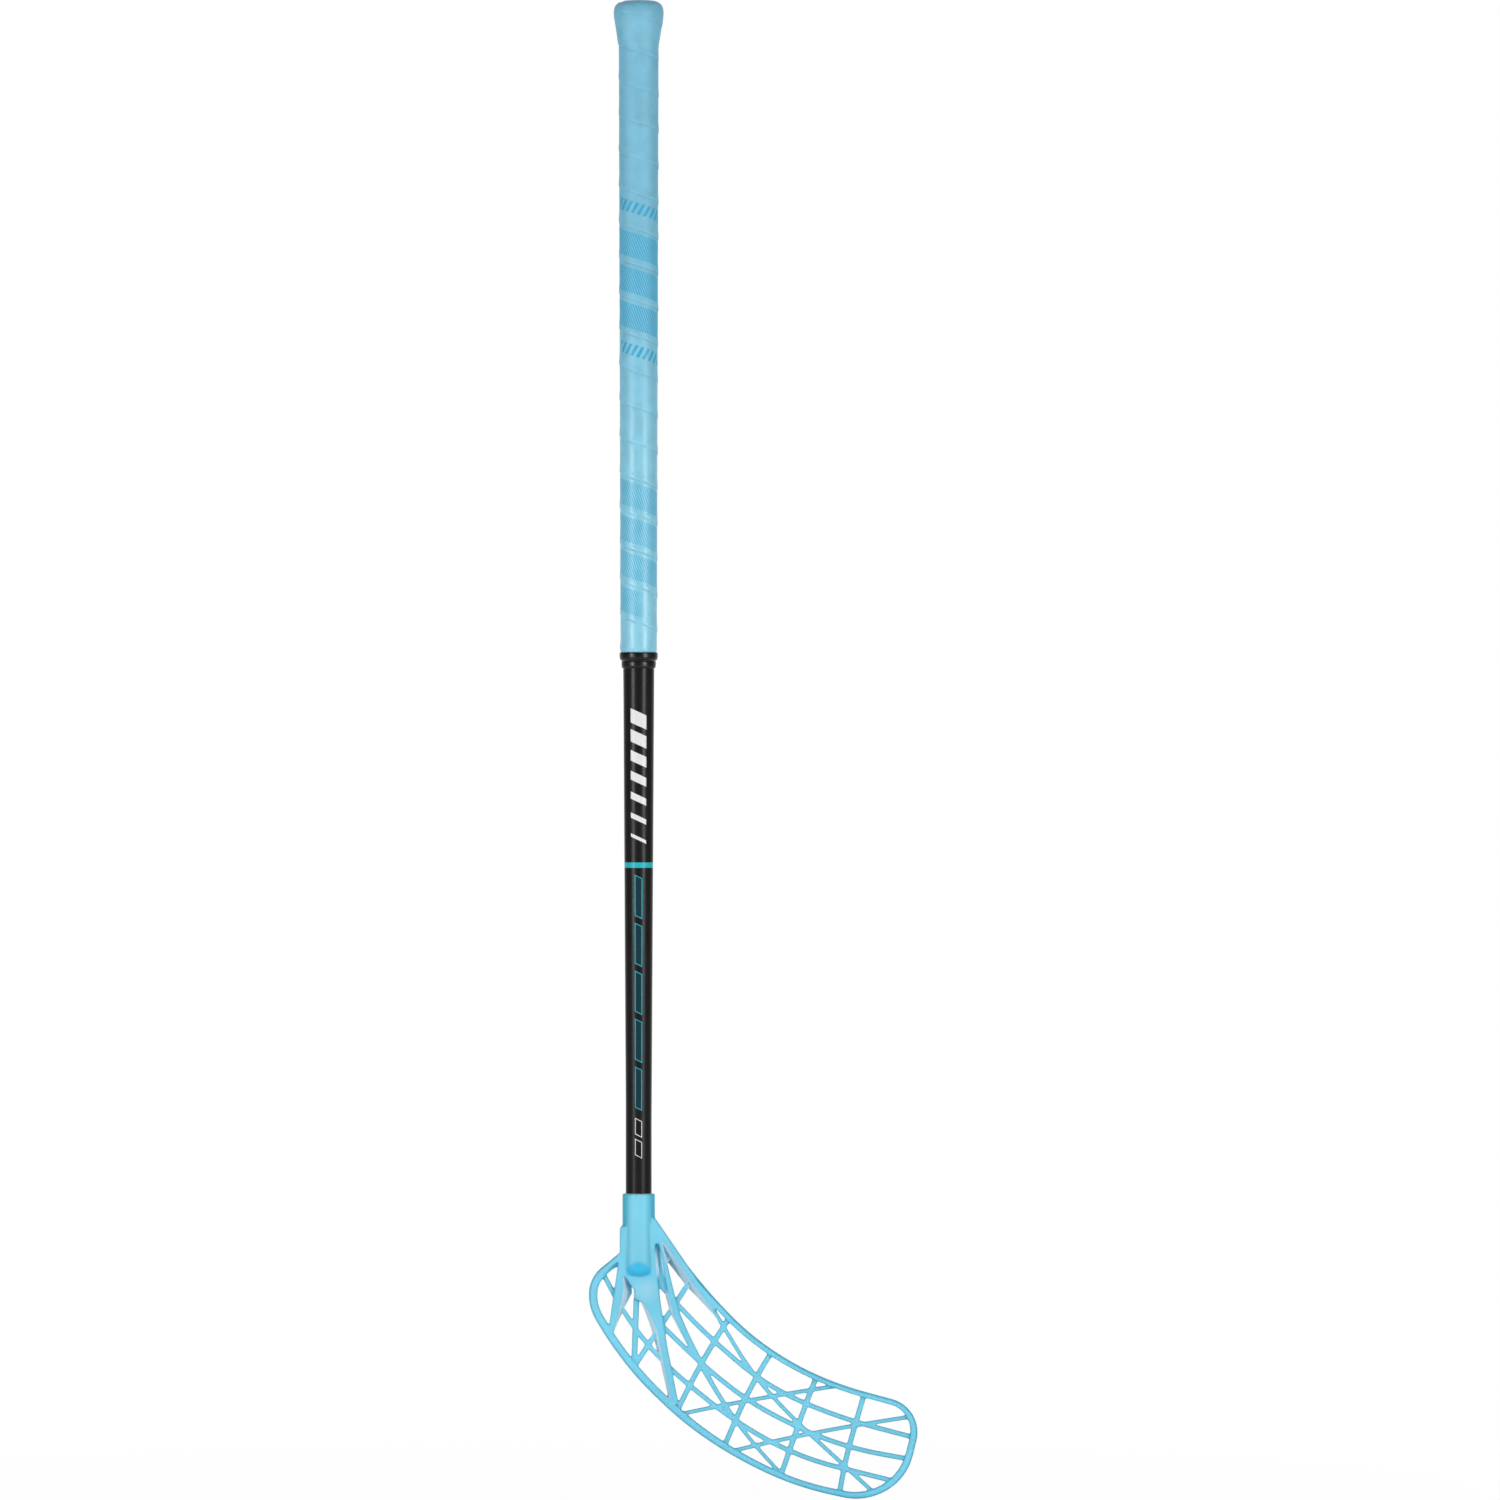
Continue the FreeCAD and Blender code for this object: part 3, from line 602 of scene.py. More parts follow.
class STICK_OT_grip(bpy.types.Operator):
    """Wind the cushioned strip over the knob and down the shaft"""
    bl_idname = "stick.grip"
    bl_label = "Wound Grip"

    def execute(self, context):
        grip = context.scene.stick_grip
        points, faces, turn, across = wound_strip(grip, context.scene.stick_shaft)
        made = new_piece(
            "grip_strip", points, faces, grip_material(grip), "stick", ["grip_tape"])
        mesh = made.data
        corner = np.zeros(len(mesh.loops), np.int64)
        mesh.loops.foreach_get("vertex_index", corner)
        uv = np.stack([np.repeat(turn, across.shape[1]), across.ravel() * MM], axis=1)
        mesh.uv_layers.new(name="strip").data.foreach_set("uv", uv[corner].astype(np.float32).ravel())
        return {"FINISHED"}


# Shaft


# Rows of slanted boxes down the front of the shaft, in metres: where a row starts, the distance from box to
# box, their number, their height, how much each is shorter than the last, and half their width.
SOLID_BARS = {"top": -0.536, "pitch": 0.0158, "count": 7, "tall": 0.0108, "shrink": 0.00135, "half": 0.0062}
FILLED_BARS = {"top": -0.661, "pitch": 0.0364, "count": 5, "tall": 0.031, "shrink": 0, "half": 0.0031}
SMALL_BOXES = {"top": -0.8455, "pitch": 0.0158, "count": 2, "tall": 0.0125, "shrink": 0, "half": 0.0031}
BOX_SLANT = 0.45
BOX_OUTLINE = 0.0006
PRINT_SOFT = 0.00012

# Outside its row no point is in a box: this length in metres is taken off its depth.
FAR_OUTSIDE = 0.1

# Ring stripe: its height, and from its middle where its edge starts to fade and ends, in metres.
STRIPE_Z = -0.6524
STRIPE_FADE = (0.0019, 0.0022)

# Radius in metres at which angles round the shaft become lengths.
PRINT_RADIUS = 0.0113


def slanted_boxes(tree, level, round_way, row):
    """How deep a point lies inside a box of a row, in metres, and a negative length outside all of them.

    The height is shifted with the way round the shaft, so the boxes slant. Its distance below the row's
    start, divided by the pitch, gives the number of the box and the place in it."""
    slanted = maths(tree, "ADD", level, maths(tree, "MULTIPLY", round_way, BOX_SLANT))
    share = maths(tree, "DIVIDE", maths(tree, "SUBTRACT", row["top"], slanted), row["pitch"])
    number = maths(tree, "FLOOR", share)
    down = maths(tree, "MULTIPLY", maths(tree, "FRACT", share), row["pitch"])
    tall = maths(tree, "SUBTRACT", row["tall"], maths(tree, "MULTIPLY", number, row["shrink"]))
    ends = maths(tree, "MINIMUM", down, maths(tree, "SUBTRACT", tall, down))
    sides = maths(tree, "SUBTRACT", row["half"], maths(tree, "ABSOLUTE", round_way))
    after_start = maths(tree, "GREATER_THAN", share, 0.0)
    in_row = maths(tree, "MULTIPLY", after_start, maths(tree, "LESS_THAN", share, row["count"]))
    outside = maths(tree, "MULTIPLY", maths(tree, "SUBTRACT", 1.0, in_row), FAR_OUTSIDE)
    return maths(tree, "SUBTRACT", maths(tree, "MINIMUM", ends, sides), outside)


def box_fill(tree, deep, inset=0.0):
    """1 inside the boxes by more than the inset, with a soft edge."""
    return ramp(tree, deep, inset - PRINT_SOFT, inset + PRINT_SOFT)


def box_outline(tree, deep):
    """1 on a line along the inside of the boxes' edges."""
    hollow = maths(tree, "SUBTRACT", 1.0, box_fill(tree, deep, BOX_OUTLINE))
    return maths(tree, "MULTIPLY", box_fill(tree, deep), hollow)


def shaft_material(shaft):
    """Satin black lacquer with a plain ring stripe and rows of slanted bars on the front."""
    made, tree, shader = new_material(
        "Satin shaft lacquer", Base_Color=rgba(shaft.lacquer), Roughness=0.32, Specular_IOR_Level=0.22)
    here = object_place(tree)
    axes = add(tree, "ShaderNodeSeparateXYZ", {0: here}).outputs
    front = maths(tree, "MULTIPLY", axes["Y"], -1.0)
    round_way = maths(tree, "MULTIPLY", maths(tree, "ARCTAN2", axes["X"], front), PRINT_RADIUS)
    level = axes["Z"]
    texture = grain(tree, here, fine=1500.0, broad=40.0)
    base = toned(tree, texture, rgba(shaft.lacquer), 0.85, 1.15)
    bars = slanted_boxes(tree, level, round_way, SOLID_BARS)
    base = mixed(tree, box_fill(tree, bars), base, rgba(shaft.white))
    filled = slanted_boxes(tree, level, round_way, FILLED_BARS)
    base = mixed(tree, box_fill(tree, filled, BOX_OUTLINE), base, rgba(shaft.bar_fill))
    base = mixed(tree, box_outline(tree, filled), base, rgba(shaft.stripe))
    boxes = slanted_boxes(tree, level, round_way, SMALL_BOXES)
    base = mixed(tree, box_outline(tree, boxes), base, rgba(shaft.white))
    from_stripe = maths(tree, "ABSOLUTE", maths(tree, "SUBTRACT", level, STRIPE_Z))
    base = mixed(tree, ramp(tree, from_stripe, *STRIPE_FADE, 1.0, 0.0), base, rgba(shaft.stripe))
    tree.links.new(base, shader.inputs["Base Color"])
    roughened(tree, shader, texture, 0.12)
    bump(tree, shader, texture["Height"], distance=0.00002, strength=0.5)
    return made


class STICK_OT_shaft(bpy.types.Operator):
    """Finish the tube with lacquer and its plain print"""
    bl_idname = "stick.shaft"
    bl_label = "Shaft Lacquer"

    def execute(self, context):
        finish_node("shaft_tube", shaft_material(context.scene.stick_shaft))
        return {"FINISHED"}


# Collar


# Inside of the collar, in mm: its radii around the grip and around the tube, and the drop between them.
OVER_GRIP = 13.72
OVER_TUBE = 11.92
STEP_DROP = 5.6

# Spacing of the collar's profile in mm, the window of the mean that rounds it, and points round the shaft.
PROFILE_SPACING = 0.12
PROFILE_WINDOW = 0.5
ROUND_STEPS = 128


def collar_profile(collar):
    """Closed half profile of the collar in metres: a full upper bead, a groove and a slimmer lower bead."""
    top = COLLAR_HIGH.z / MM
    low = COLLAR_LOW.z / MM
    lip = collar.lip_radius / MM
    bead = collar.bead_radius / MM
    corners = np.array([
        (OVER_GRIP, top), (lip - 0.45, top), (lip - 0.1, top - 0.5), (lip, top - 1.6),
        (lip - 0.05, top - 3.6), (lip - 0.45, top - 5.4), (bead - 0.05, top - 6.3),
        (bead - 0.35, top - 6.75), (bead - 0.05, top - 7.2), (bead, top - 8.2), (bead - 0.05, top - 10.2),
        (bead - 0.4, low + 0.5), (bead - 0.9, low), (OVER_TUBE, low), (OVER_TUBE, top - STEP_DROP),
        (OVER_GRIP, top - STEP_DROP)])
    return rounded_profile(corners, PROFILE_SPACING, PROFILE_WINDOW) * MM


def rubber_material(collar):
    """Smooth black rubber with a faint bloom."""
    made, tree, shader = new_material(
        "Collar rubber", Base_Color=rgba(collar.rubber), Roughness=0.3, Specular_IOR_Level=0.35)
    texture = grain(tree, object_place(tree), fine=1800.0, broad=160.0)
    base = toned(tree, texture, rgba(collar.rubber), 0.8, 1.35, noise_high=0.75)
    tree.links.new(base, shader.inputs["Base Color"])
    roughened(tree, shader, texture, 0.25)
    bump(tree, shader, texture["Height"], distance=0.00003, strength=0.5)
    return made


class STICK_OT_collar(bpy.types.Operator):
    """Turn the rubber collar that hides the end of the strip"""
    bl_idname = "stick.collar"
    bl_label = "Rubber Collar"

    def execute(self, context):
        collar = context.scene.stick_collar
        points, faces = turned(collar_profile(collar), ROUND_STEPS)
        rubber = rubber_material(collar)
        new_piece("collar_ring", points, faces, rubber, "collar", ["grip_collar"])
        return {"FINISHED"}


# Finishing tape


# Finishing tape, in mm and in radians: the layer that its CAD solid holds, its own thickness and width,
# where it starts, how far it runs round the shaft and where it climbs onto its first turn.
TAPE_LAYER = 0.3
TAPE_THICK = 0.13
TAPE_WIDE = 3.8
TAPE_START = 0.4
TAPE_RUN = 2.5 * np.pi
TAPE_CLIMB = (1.7 * np.pi, 2.15 * np.pi)
TAPE_STEPS = 160


def wound_tape():
    """Thin tape wound one and a quarter times: a flat section carried round the shaft.

    Its radius grows by its thickness where it climbs onto its first turn."""
    low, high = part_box("grip_end_tape")
    near = high.x / MM - TAPE_LAYER
    way = np.linspace(0, TAPE_RUN, TAPE_STEPS)
    angle = TAPE_START + way
    grow = TAPE_THICK * smooth_step(*TAPE_CLIMB, way)
    outer = [(TAPE_THICK, z) for z in (0.03, 1.0, 2.0, 3.0, TAPE_WIDE - 0.03)]
    inner = [(-0.01, z) for z in (3.0, 2.0, 1.0)]
    section = np.array([(0.0, 0.0), *outer, (0.0, TAPE_WIDE), *inner])
    radius = near + grow[:, None] + section[:, 0]
    z = np.tile(low.z / MM + section[:, 1], (TAPE_STEPS, 1))
    points = np.stack([radius * np.cos(angle)[:, None], radius * np.sin(angle)[:, None], z], axis=-1) * MM
    count = len(section)
    faces = grid_faces(TAPE_STEPS, count, False, True).tolist()
    faces.append(list(range(count)))
    faces.append(list(range(TAPE_STEPS * count - 1, (TAPE_STEPS - 1) * count - 1, -1)))
    return points.reshape(-1, 3), faces


def tape_material(collar):
    """Black vinyl tape with a fine grain."""
    made, tree, shader = new_material("Finishing tape", Base_Color=rgba(collar.tape), Roughness=0.42)
    texture = grain(tree, object_place(tree), fine=900.0, broad=240.0)
    base = toned(tree, texture, rgba(collar.tape), 0.8, 1.2)
    tree.links.new(base, shader.inputs["Base Color"])
    bump(tree, shader, texture["Height"], distance=0.00004, strength=0.6)
    return made


class STICK_OT_end_tape(bpy.types.Operator):
    """Wind the thin tape that holds the lower end of the strip"""
    bl_idname = "stick.end_tape"
    bl_label = "Finishing Tape"

    def execute(self, context):
        points, faces = wound_tape()
        new_piece("finishing_tape", points, faces, tape_material(context.scene.stick_collar),
                  "stick", ["grip_end_tape"])
        return {"FINISHED"}


# Blade


def evaluated(name, mesh, kind, **settings):
    """New mesh that one modifier makes from a mesh."""
    made = bpy.data.objects.new(name, mesh)
    bpy.context.scene.collection.objects.link(made)
    modifier = made.modifiers.new(kind, kind)
    for key, value in settings.items():
        setattr(modifier, key, value)
    view = bpy.context.evaluated_depsgraph_get()
    result = bpy.data.meshes.new_from_object(made.evaluated_get(view))
    bpy.data.objects.remove(made)
    bpy.data.meshes.remove(mesh)
    return result


def get_points(mesh):
    """Points of a mesh as an array of rows."""
    flat = np.zeros(len(mesh.vertices) * 3, np.float32)
    mesh.vertices.foreach_get("co", flat)
    return flat.reshape(-1, 3).astype(float)


def neighbours(mesh):
    """Both ends of every edge, and how many edges meet at each point."""
    edges = np.zeros(len(mesh.edges) * 2, np.int32)
    mesh.edges.foreach_get("vertices", edges)
    one, two = edges.reshape(-1, 2).T
    count = len(mesh.vertices)
    return one, two, np.bincount(one, minlength=count) + np.bincount(two, minlength=count)


def neighbour_mean(points, one, two, ties):
    """Mean of the values at each point's neighbours along the edges."""
    total = np.zeros_like(points)
    count = len(points)
    for axis in range(points.shape[1]):
        total[:, axis] = np.bincount(one, points[two, axis], count)
        total[:, axis] += np.bincount(two, points[one, axis], count)
    return total / ties[:, None]


# Each rounding pass moves a point in by the first share of the way and out by the second.
ROUND_IN = 0.6
ROUND_OUT = 0.35

# Distance in metres at which loose corners are one point, and triangles of the finished moulding.
MERGE = 1e-6
MOULDING_TRIANGLES = 185000


def rounded_moulding(blade):
    """Copy of the blade's solid with softened edges: even cells, then passes that move each point.

    A pass takes a point towards the mean of its neighbours and part of the way back out, so that corners
    round and walls keep their place."""
    work = bmesh.new()
    work.from_mesh(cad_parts["blade"].data)
    bmesh.ops.remove_doubles(work, verts=work.verts, dist=MERGE)
    merged = bpy.data.meshes.new("blade merged")
    work.to_mesh(merged)
    work.free()
    mesh = evaluated("blade cells", merged, "REMESH", mode="VOXEL", voxel_size=blade.voxel)
    one, two, ties = neighbours(mesh)
    points = get_points(mesh)
    for step in range(blade.rounding):
        points = points + ROUND_IN * (neighbour_mean(points, one, two, ties) - points)
        points = points - ROUND_OUT * (neighbour_mean(points, one, two, ties) - points)
    mesh.vertices.foreach_set("co", points.astype(np.float32).ravel())
    mesh.update()
    ratio = min(1.0, MOULDING_TRIANGLES / (2 * len(mesh.polygons)))
    return evaluated("blade light", mesh, "DECIMATE", ratio=ratio)


# Drafted walls of the neck, which take painted light: corners as (across, below the socket mouth) in mm.
NECK_WALLS = {
    "heel": [
        (-12.4, 60.0), (-14.0, 74.0), (-16.3, 90.0), (-19.6, 104.0), (-17.4, 104.0), (-9.4, 88.8),
        (-1.9, 77.4), (-3.9, 73.8), (-11.2, 62.0)],
    "sole": [
        (0.2, 82.0), (3.0, 81.0), (9.4, 90.0), (16.0, 103.0), (20.2, 128.0), (25.8, 160.0), (21.8, 160.5),
        (13.6, 126.0), (6.0, 102.0), (2.8, 91.0)],
    "upper": [
        (17.4, 34.0), (43.7, 70.0), (56.2, 88.5), (62.0, 98.8), (34.0, 71.6), (21.5, 54.2), (19.4, 50.0),
        (16.9, 38.0)],
    "groove": [
        (12.7, 43.0), (14.3, 38.0), (18.0, 50.0), (20.0, 64.0), (12.9, 64.0), (12.8, 60.0)],
    "brace": [
        (20.8, 72.0), (24.0, 79.0), (26.9, 92.0), (33.2, 105.4), (30.8, 107.0), (23.0, 92.0), (18.6, 79.8)]}


def inside(points, corners):
    """Whether each flat point lies inside the outline: a ray from it crosses an odd number of sides."""
    odd = np.zeros(len(points), bool)
    x, y = points.T
    for one, two in zip(corners, corners[1:] + corners[:1]):
        if one[1] != two[1]:
            spans = (one[1] > y) != (two[1] > y)
            odd ^= spans & (x < one[0] + (two[0] - one[0]) * (y - one[1]) / (two[1] - one[1]))
    return odd


def front_share(mesh):
    """How squarely each point of a mesh faces the forehand side: the normal's part along it."""
    flat = np.zeros(len(mesh.vertices) * 3, np.float32)
    mesh.vertex_normals.foreach_get("vector", flat)
    return -flat.reshape(-1, 3)[:, 1:2].astype(float)


def keep_share(mesh, name, share):
    """Store one number for each point as an attribute that a material can read."""
    mesh.attributes.new(name, "FLOAT", "POINT").data.foreach_set("value", share.astype(np.float32).ravel())


# How squarely a wall faces front where it starts and where it ends, and the same for a surface that is no
# longer edge-on, where the painted edge shade stops.
WALL_STARTS = (-0.1, 0.1)
WALL_ENDS = (0.75, 0.93)
EDGE_SHADE_ENDS = (0.4, 1.0)

# Means over the neighbours that soften the shares, and further ones that spread the painted edge shade over
# a rib, with the softened values between which walls and thin ribs become full.
SOFT_PASSES = 4
SPREAD_PASSES = 24
WALL_FULL = (0.35, 0.75)
THIN_FULL = (0.3, 0.6)


def moulding_shares(mesh):
    """Attributes of the moulding, softened by means over the neighbours.

    "wall" is 1 on the neck's drafted walls, which face the forehand side at a slant; it carries painted
    light. "edge" is 1 where the surface turns edge-on and carries painted shade. "thin" is 1 on slender
    ribs, where much of the surface nearby is edge-on, and carries painted shade."""
    front = front_share(mesh)
    points = get_points(mesh)
    across_and_below = np.stack([points[:, 0], BLADE_HIGH.z - points[:, 2]], axis=1) / MM
    one, two, ties = neighbours(mesh)
    in_walls = np.any([inside(across_and_below, corners) for corners in NECK_WALLS.values()], axis=0)
    # The wall share carries painted light onto the neck walls.
    wall = smooth_step(*WALL_STARTS, front) * (1 - smooth_step(*WALL_ENDS, front)) * in_walls[:, None]
    # The edge share carries painted shade onto surfaces that turn edge-on.
    edge = 1 - smooth_step(*EDGE_SHADE_ENDS, np.abs(front))
    for step in range(SOFT_PASSES):
        wall = neighbour_mean(wall, one, two, ties)
        edge = neighbour_mean(edge, one, two, ties)
    keep_share(mesh, "wall", smooth_step(*WALL_FULL, wall))
    keep_share(mesh, "edge", edge)
    # Painted shade on slender ribs: the edge shade spread over each rib.
    for step in range(SPREAD_PASSES):
        edge = neighbour_mean(edge, one, two, ties)
    keep_share(mesh, "thin", smooth_step(*THIN_FULL, edge))


def stored_share(tree, name):
    """Share that the mesh keeps as an attribute."""
    return add(tree, "ShaderNodeAttribute", attribute_name=name).outputs["Fac"]


# Closed end of the socket, in metres: the distances from its middle and from the blade's mid-plane at which
# its painted shade starts and is full, and how far that reaches down. Then the pale place below it, where
# light is painted.
END_SHADE_REACH = (0.0115, 0.0075)
END_SHADE_PROUD = (0.0062, 0.0074)
END_SHADE_DOWN = 0.003
PALE_ACROSS = 0.0055
PALE_DOWN = 0.0125
PALE_REACH = 0.013
PALE_SHARE = 0.3


def blade_material(blade):
    """Satin moulded plastic that lets a little light through, with faint flow marks, painted sheen and
    shade, and painted light on the neck walls.
    """
    made, tree, shader = new_material(
        "Moulded blade plastic", Base_Color=rgba(blade.plastic), Roughness=0.5, Specular_IOR_Level=0.5,
        Subsurface_Weight=0.3, Subsurface_Radius=(0.8, 1.0, 1.1), Subsurface_Scale=0.003)
    here = object_place(tree)
    texture = grain(tree, here, fine=1400.0, broad=24.0)
    edge, wall, thin = (stored_share(tree, name) for name in ("edge", "wall", "thin"))
    # Painted sheen and shade: square-on faces keep the lighter plastic, edge-on faces take the painted edge
    # shade, and slender ribs a greyer painted shade.
    base = mixed(tree, edge, mixed(tree, thin, rgba(blade.plastic), rgba(blade.thin)), rgba(blade.edge))
    axes = add(tree, "ShaderNodeSeparateXYZ", {0: here}).outputs
    flat = add(tree, "ShaderNodeCombineXYZ", {"X": axes["X"], "Z": axes["Z"]}).outputs[0]
    # Painted shade on the rounded end of the socket, where it stands proud and faces down.
    near_end = ramp(tree, distance_to(tree, flat, (0, 0, blade.socket_end)), *END_SHADE_REACH)
    above = ramp(tree, axes["Z"], blade.socket_end - END_SHADE_DOWN, blade.socket_end)
    proud = ramp(tree, maths(tree, "ABSOLUTE", axes["Y"]), *END_SHADE_PROUD)
    deep = maths(tree, "MULTIPLY", near_end, maths(tree, "MULTIPLY", above, proud))
    base = mixed(tree, deep, base, rgba(blade.thick))
    # Painted light: a pale patch below the socket end, mixed with the pale neck walls.
    painted_light_place = (PALE_ACROSS, 0, blade.socket_end - PALE_DOWN)
    pale = ramp(tree, distance_to(tree, flat, painted_light_place), PALE_REACH, 0.0, 0.0, PALE_SHARE)
    base = mixed(tree, maths(tree, "MAXIMUM", wall, pale), base, rgba(blade.wall))
    tree.links.new(toned(tree, texture, base, 0.95, 1.04), shader.inputs["Base Color"])
    roughened(tree, shader, texture, 0.2)
    bump(tree, shader, texture["Height"], distance=0.00003, strength=0.5)
    return made


class STICK_OT_blade(bpy.types.Operator):
    """Round the moulded blade and finish it in plastic"""
    bl_idname = "stick.blade"
    bl_label = "Moulded Blade"

    def execute(self, context):
        blade = context.scene.stick_blade
        mesh = rounded_moulding(blade)
        mesh.name = "blade_moulding"
        mesh.polygons.foreach_set("use_smooth", np.ones(len(mesh.polygons), bool))
        moulding_shares(mesh)
        place("blade_moulding", mesh, blade_material(blade), "stick", ["blade"])
        return {"FINISHED"}


# Small parts


def small_material(name, tint, fine, broad, relief, **values):
    """Plain finish with a change of tone and a fine relief."""
    made, tree, shader = new_material(name, Base_Color=rgba(tint), **values)
    texture = grain(tree, object_place(tree), fine, broad)
    tree.links.new(toned(tree, texture, rgba(tint), 0.82, 1.15), shader.inputs["Base Color"])
    bump(tree, shader, texture["Height"], relief, strength=0.6)
    return made


class STICK_OT_small_parts(bpy.types.Operator):
    """Finish the knob, the adhesive and the screws"""
    bl_idname = "stick.small_parts"
    bl_label = "Small Parts"

    def execute(self, context):
        blade = context.scene.stick_blade
        finish_node("butt_knob", small_material(
            "Matt knob moulding", blade.knob, fine=1600.0, broad=120.0, relief=0.00005, Roughness=0.55))
        finish_node("blade_adhesive", small_material(
            "Hot-melt adhesive", blade.glue, fine=500.0, broad=200.0, relief=0.00006, Roughness=0.35))
        finish_node("blade_screws", small_material(
            "Zinc-plated steel", blade.steel, fine=3000.0, broad=700.0, relief=0.00002, Roughness=0.32,
            Metallic=1.0))
        return {"FINISHED"}


# Stage


# Width of the camera's sensor in mm, and in metres its far limit and the sizes of softboxes and floor.
SENSOR = 36.0
FAR_LIMIT = 100.0
SOFTBOX_WIDE = 0.5
SOFTBOX_TALL = 0.9
FLOOR_HALF = 30.0
FLOOR_GAP = 0.0003

# How far a direction points away behind the object where the white in gloss starts, and where it is full.
BEHIND = (0.35, 0.95)


def in_gloss(tree):
    """1 for rays that come from a glossy or a clear surface."""
    ray = add(tree, "ShaderNodeLightPath").outputs
    return maths(tree, "MAXIMUM", ray["Is Glossy Ray"], ray["Is Transmission Ray"])


def seen_white(tree, behind):
    """1 for rays from the camera, and the given share for rays from glossy or clear surfaces."""
    ray = add(tree, "ShaderNodeLightPath").outputs
    return maths(tree, "MAXIMUM", ray["Is Camera Ray"], maths(tree, "MULTIPLY", in_gloss(tree), behind))


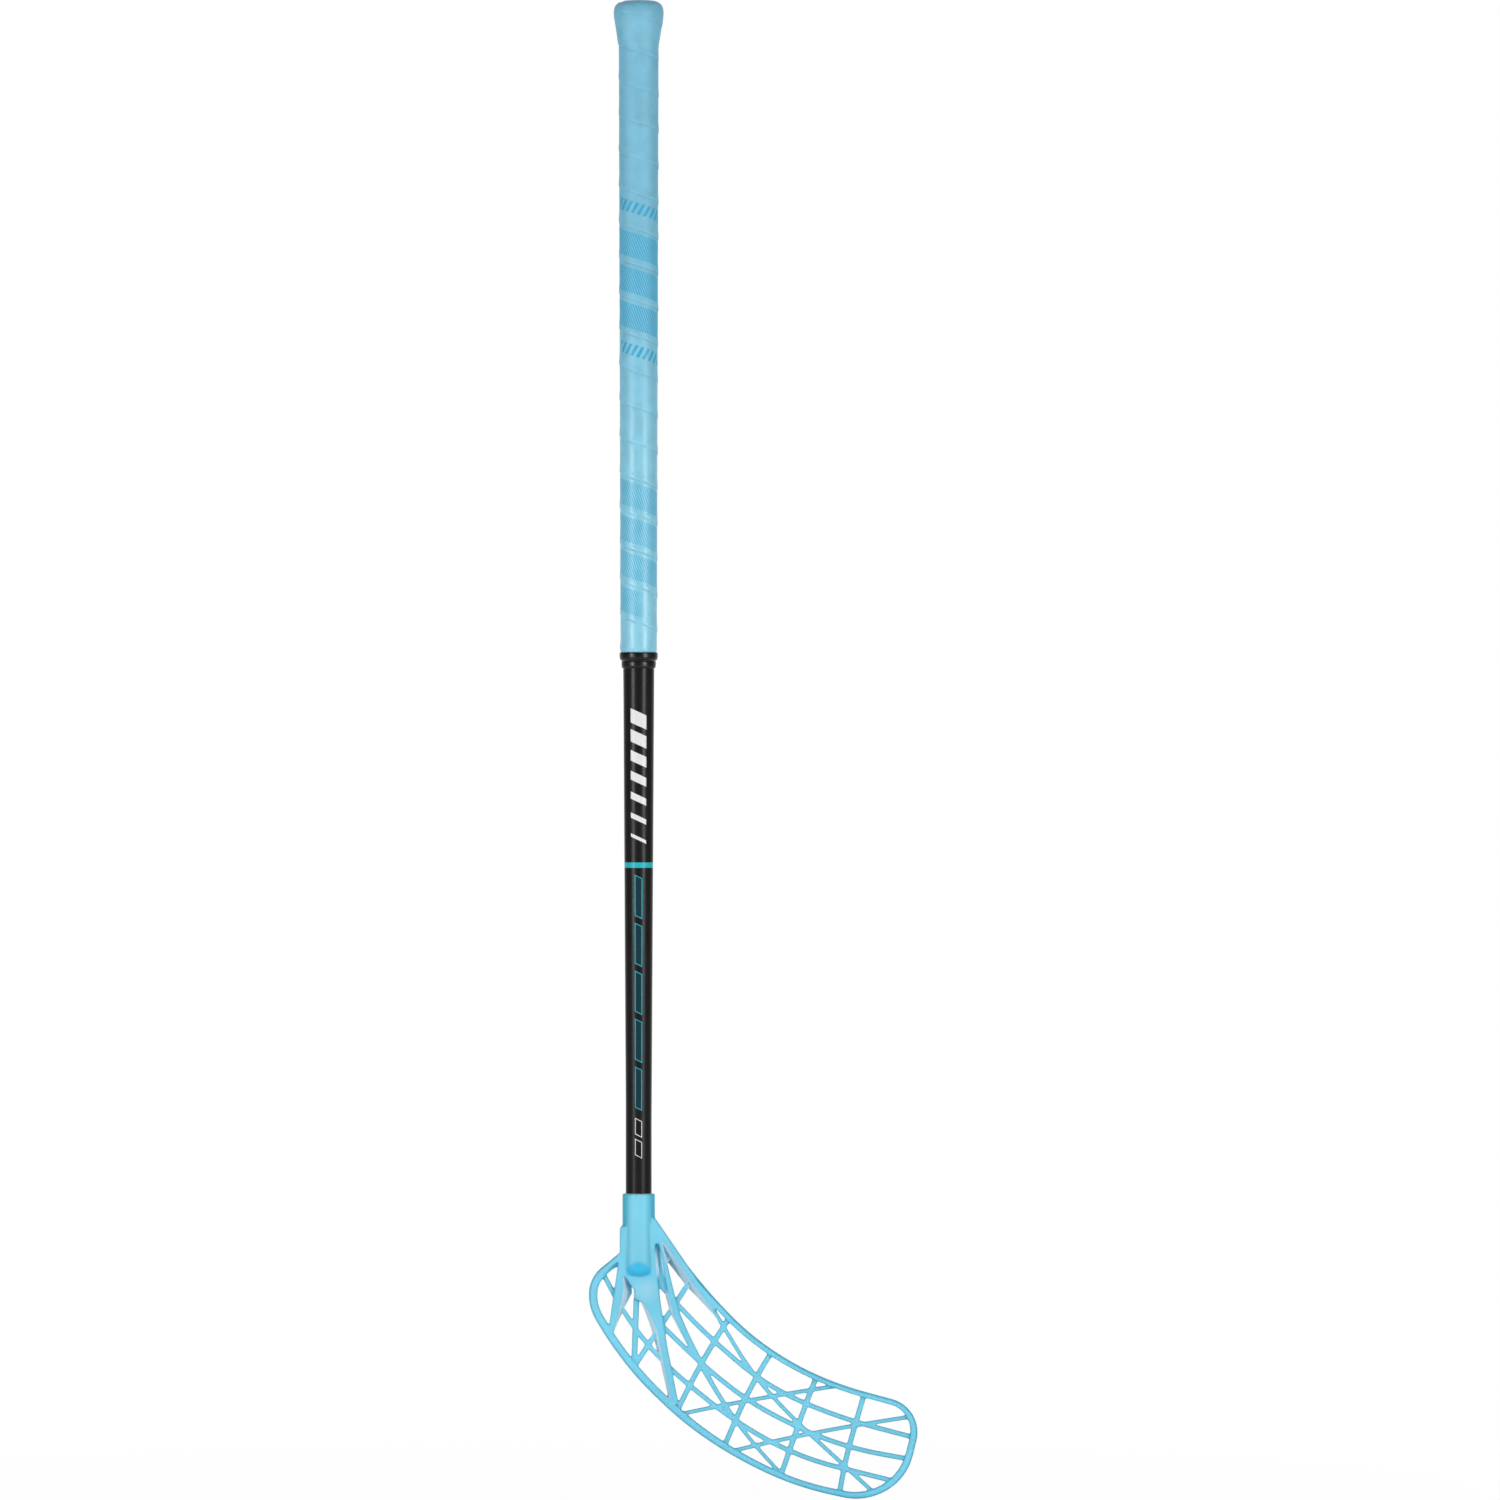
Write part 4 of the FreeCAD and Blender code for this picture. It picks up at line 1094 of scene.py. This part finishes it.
class STICK_OT_stage(bpy.types.Operator):
    """Set up the camera, the pale floor and the soft lamps"""
    bl_idname = "stick.stage"
    bl_label = "Stage"

    def execute(self, context):
        stage = context.scene.stick_stage
        scene = context.scene
        scene.view_settings.view_transform = "Standard"
        camera = bpy.data.objects.new("camera", bpy.data.cameras.new("camera"))
        scene.collection.objects.link(camera)
        camera.data.sensor_width = SENSOR
        camera.data.lens = SENSOR * stage.distance / stage.field
        camera.data.clip_end = FAR_LIMIT
        camera.location = (stage.centre_x, -stage.distance, stage.centre_z)
        camera.rotation_euler = (math.pi / 2, 0, 0)
        scene.camera = camera
        self.lamps(scene, stage)
        self.floor(scene)
        self.surroundings(scene, stage)
        return {"FINISHED"}

    def lamps(self, scene, stage):
        """Two upright softboxes, one on each side of the camera, and one behind that makes no highlights."""
        softboxes = [
            ("softbox left", -stage.key_turn, True), ("softbox right", stage.key_turn, True),
            ("softbox behind", math.pi, False)]
        for name, turn, highlight in softboxes:
            lamp = bpy.data.lights.new(name, "AREA")
            lamp.shape = "RECTANGLE"
            lamp.size = SOFTBOX_WIDE
            lamp.size_y = SOFTBOX_TALL
            lamp.energy = stage.key
            made = bpy.data.objects.new(name, lamp)
            made.visible_glossy = highlight
            away = stage.key_distance
            made.location = (away * math.sin(turn), -away * math.cos(turn), stage.key_z)
            made.rotation_euler = (math.pi / 2, 0, turn)
            scene.collection.objects.link(made)

    def floor(self, scene):
        """Flat square just under the blade, white to the camera and, behind the object, in gloss."""
        half = FLOOR_HALF
        z = CAD_LOW.z - FLOOR_GAP
        corners = [(-half, -half, z), (half, -half, z), (half, half, z), (-half, half, z)]
        mesh = bpy.data.meshes.new("floor")
        mesh.from_pydata(corners, [], [(0, 1, 2, 3)])
        made = bpy.data.objects.new("floor", mesh)
        scene.collection.objects.link(made)
        material, tree, shader = new_material("Pale floor", Base_Color=(0.9, 0.9, 0.9, 1.0), Roughness=0.8)
        here = object_place(tree)
        away = distance_to(tree, here, (0, 0, z))
        back = add(tree, "ShaderNodeSeparateXYZ", {0: here}).outputs["Y"]
        behind = ramp(tree, maths(tree, "DIVIDE", back, away), *BEHIND)
        share = maths(tree, "MULTIPLY", ramp(tree, away, 0.3, 0.9, 0.97, 1.0), seen_white(tree, behind))
        white = add(tree, "ShaderNodeEmission", {"Color": (1, 1, 1, 1), "Strength": 1.0})
        mix = add(tree, "ShaderNodeMixShader", {0: share, 1: shader.outputs[0], 2: white.outputs[0]})
        tree.links.new(mix.outputs[0], tree.nodes["Material Output"].inputs["Surface"])
        mesh.materials.append(material)

    def surroundings(self, scene, stage):
        """White to the camera; in gloss white behind the object and dim on the camera's side."""
        world = bpy.data.worlds.new("surroundings")
        world.use_nodes = True
        tree = world.node_tree
        way = add(tree, "ShaderNodeSeparateXYZ", {0: add(tree, "ShaderNodeTexCoord").outputs["Generated"]})
        behind = ramp(tree, way.outputs["Y"], *BEHIND, stage.room, 1.0)
        white = seen_white(tree, behind)
        ray = add(tree, "ShaderNodeLightPath").outputs
        lighting = maths(tree, "SUBTRACT", 1.0, maths(tree, "MAXIMUM", ray["Is Camera Ray"], in_gloss(tree)))
        from_above = ramp(tree, way.outputs["Z"], -1.0, 1.0, 0.8 * stage.fill, 1.2 * stage.fill)
        ground = tree.nodes["Background"]
        ground.inputs["Color"].default_value = (1, 1, 1, 1)
        strength = maths(tree, "ADD", white, maths(tree, "MULTIPLY", lighting, from_above))
        tree.links.new(strength, ground.inputs["Strength"])
        scene.world = world


class STICK_PT_panel(bpy.types.Panel):
    """Sidebar panel with the stick's pieces and settings"""
    bl_label = "Stick"
    bl_idname = "STICK_PT_panel"
    bl_space_type = "VIEW_3D"
    bl_region_type = "UI"
    bl_category = "Stick"

    def draw(self, context):
        for operator in OPERATORS:
            self.layout.operator(operator.bl_idname)
        for name, group in SETTINGS.items():
            for setting in group.__annotations__:
                self.layout.prop(getattr(context.scene, name), setting)


SETTINGS = {
    "stick_shaft": StickShaftSettings, "stick_grip": StickGripSettings, "stick_collar": StickCollarSettings,
    "stick_blade": StickBladeSettings, "stick_stage": StickStageSettings}
OPERATORS = [
    STICK_OT_stage, STICK_OT_shaft, STICK_OT_grip, STICK_OT_collar, STICK_OT_end_tape, STICK_OT_blade,
    STICK_OT_small_parts]


def register():
    for name, group in SETTINGS.items():
        bpy.utils.register_class(group)
        setattr(bpy.types.Scene, name, PointerProperty(type=group))
    for operator in OPERATORS:
        bpy.utils.register_class(operator)
    bpy.utils.register_class(STICK_PT_panel)


def unregister():
    bpy.utils.unregister_class(STICK_PT_panel)
    for operator in reversed(OPERATORS):
        bpy.utils.unregister_class(operator)
    for name, group in SETTINGS.items():
        delattr(bpy.types.Scene, name)
        bpy.utils.unregister_class(group)


def main():
    register()
    bpy.ops.stick.stage()
    bpy.ops.stick.shaft()
    bpy.ops.stick.grip()
    bpy.ops.stick.collar()
    bpy.ops.stick.end_tape()
    bpy.ops.stick.blade()
    bpy.ops.stick.small_parts()


if __name__ == "__main__":
    main()
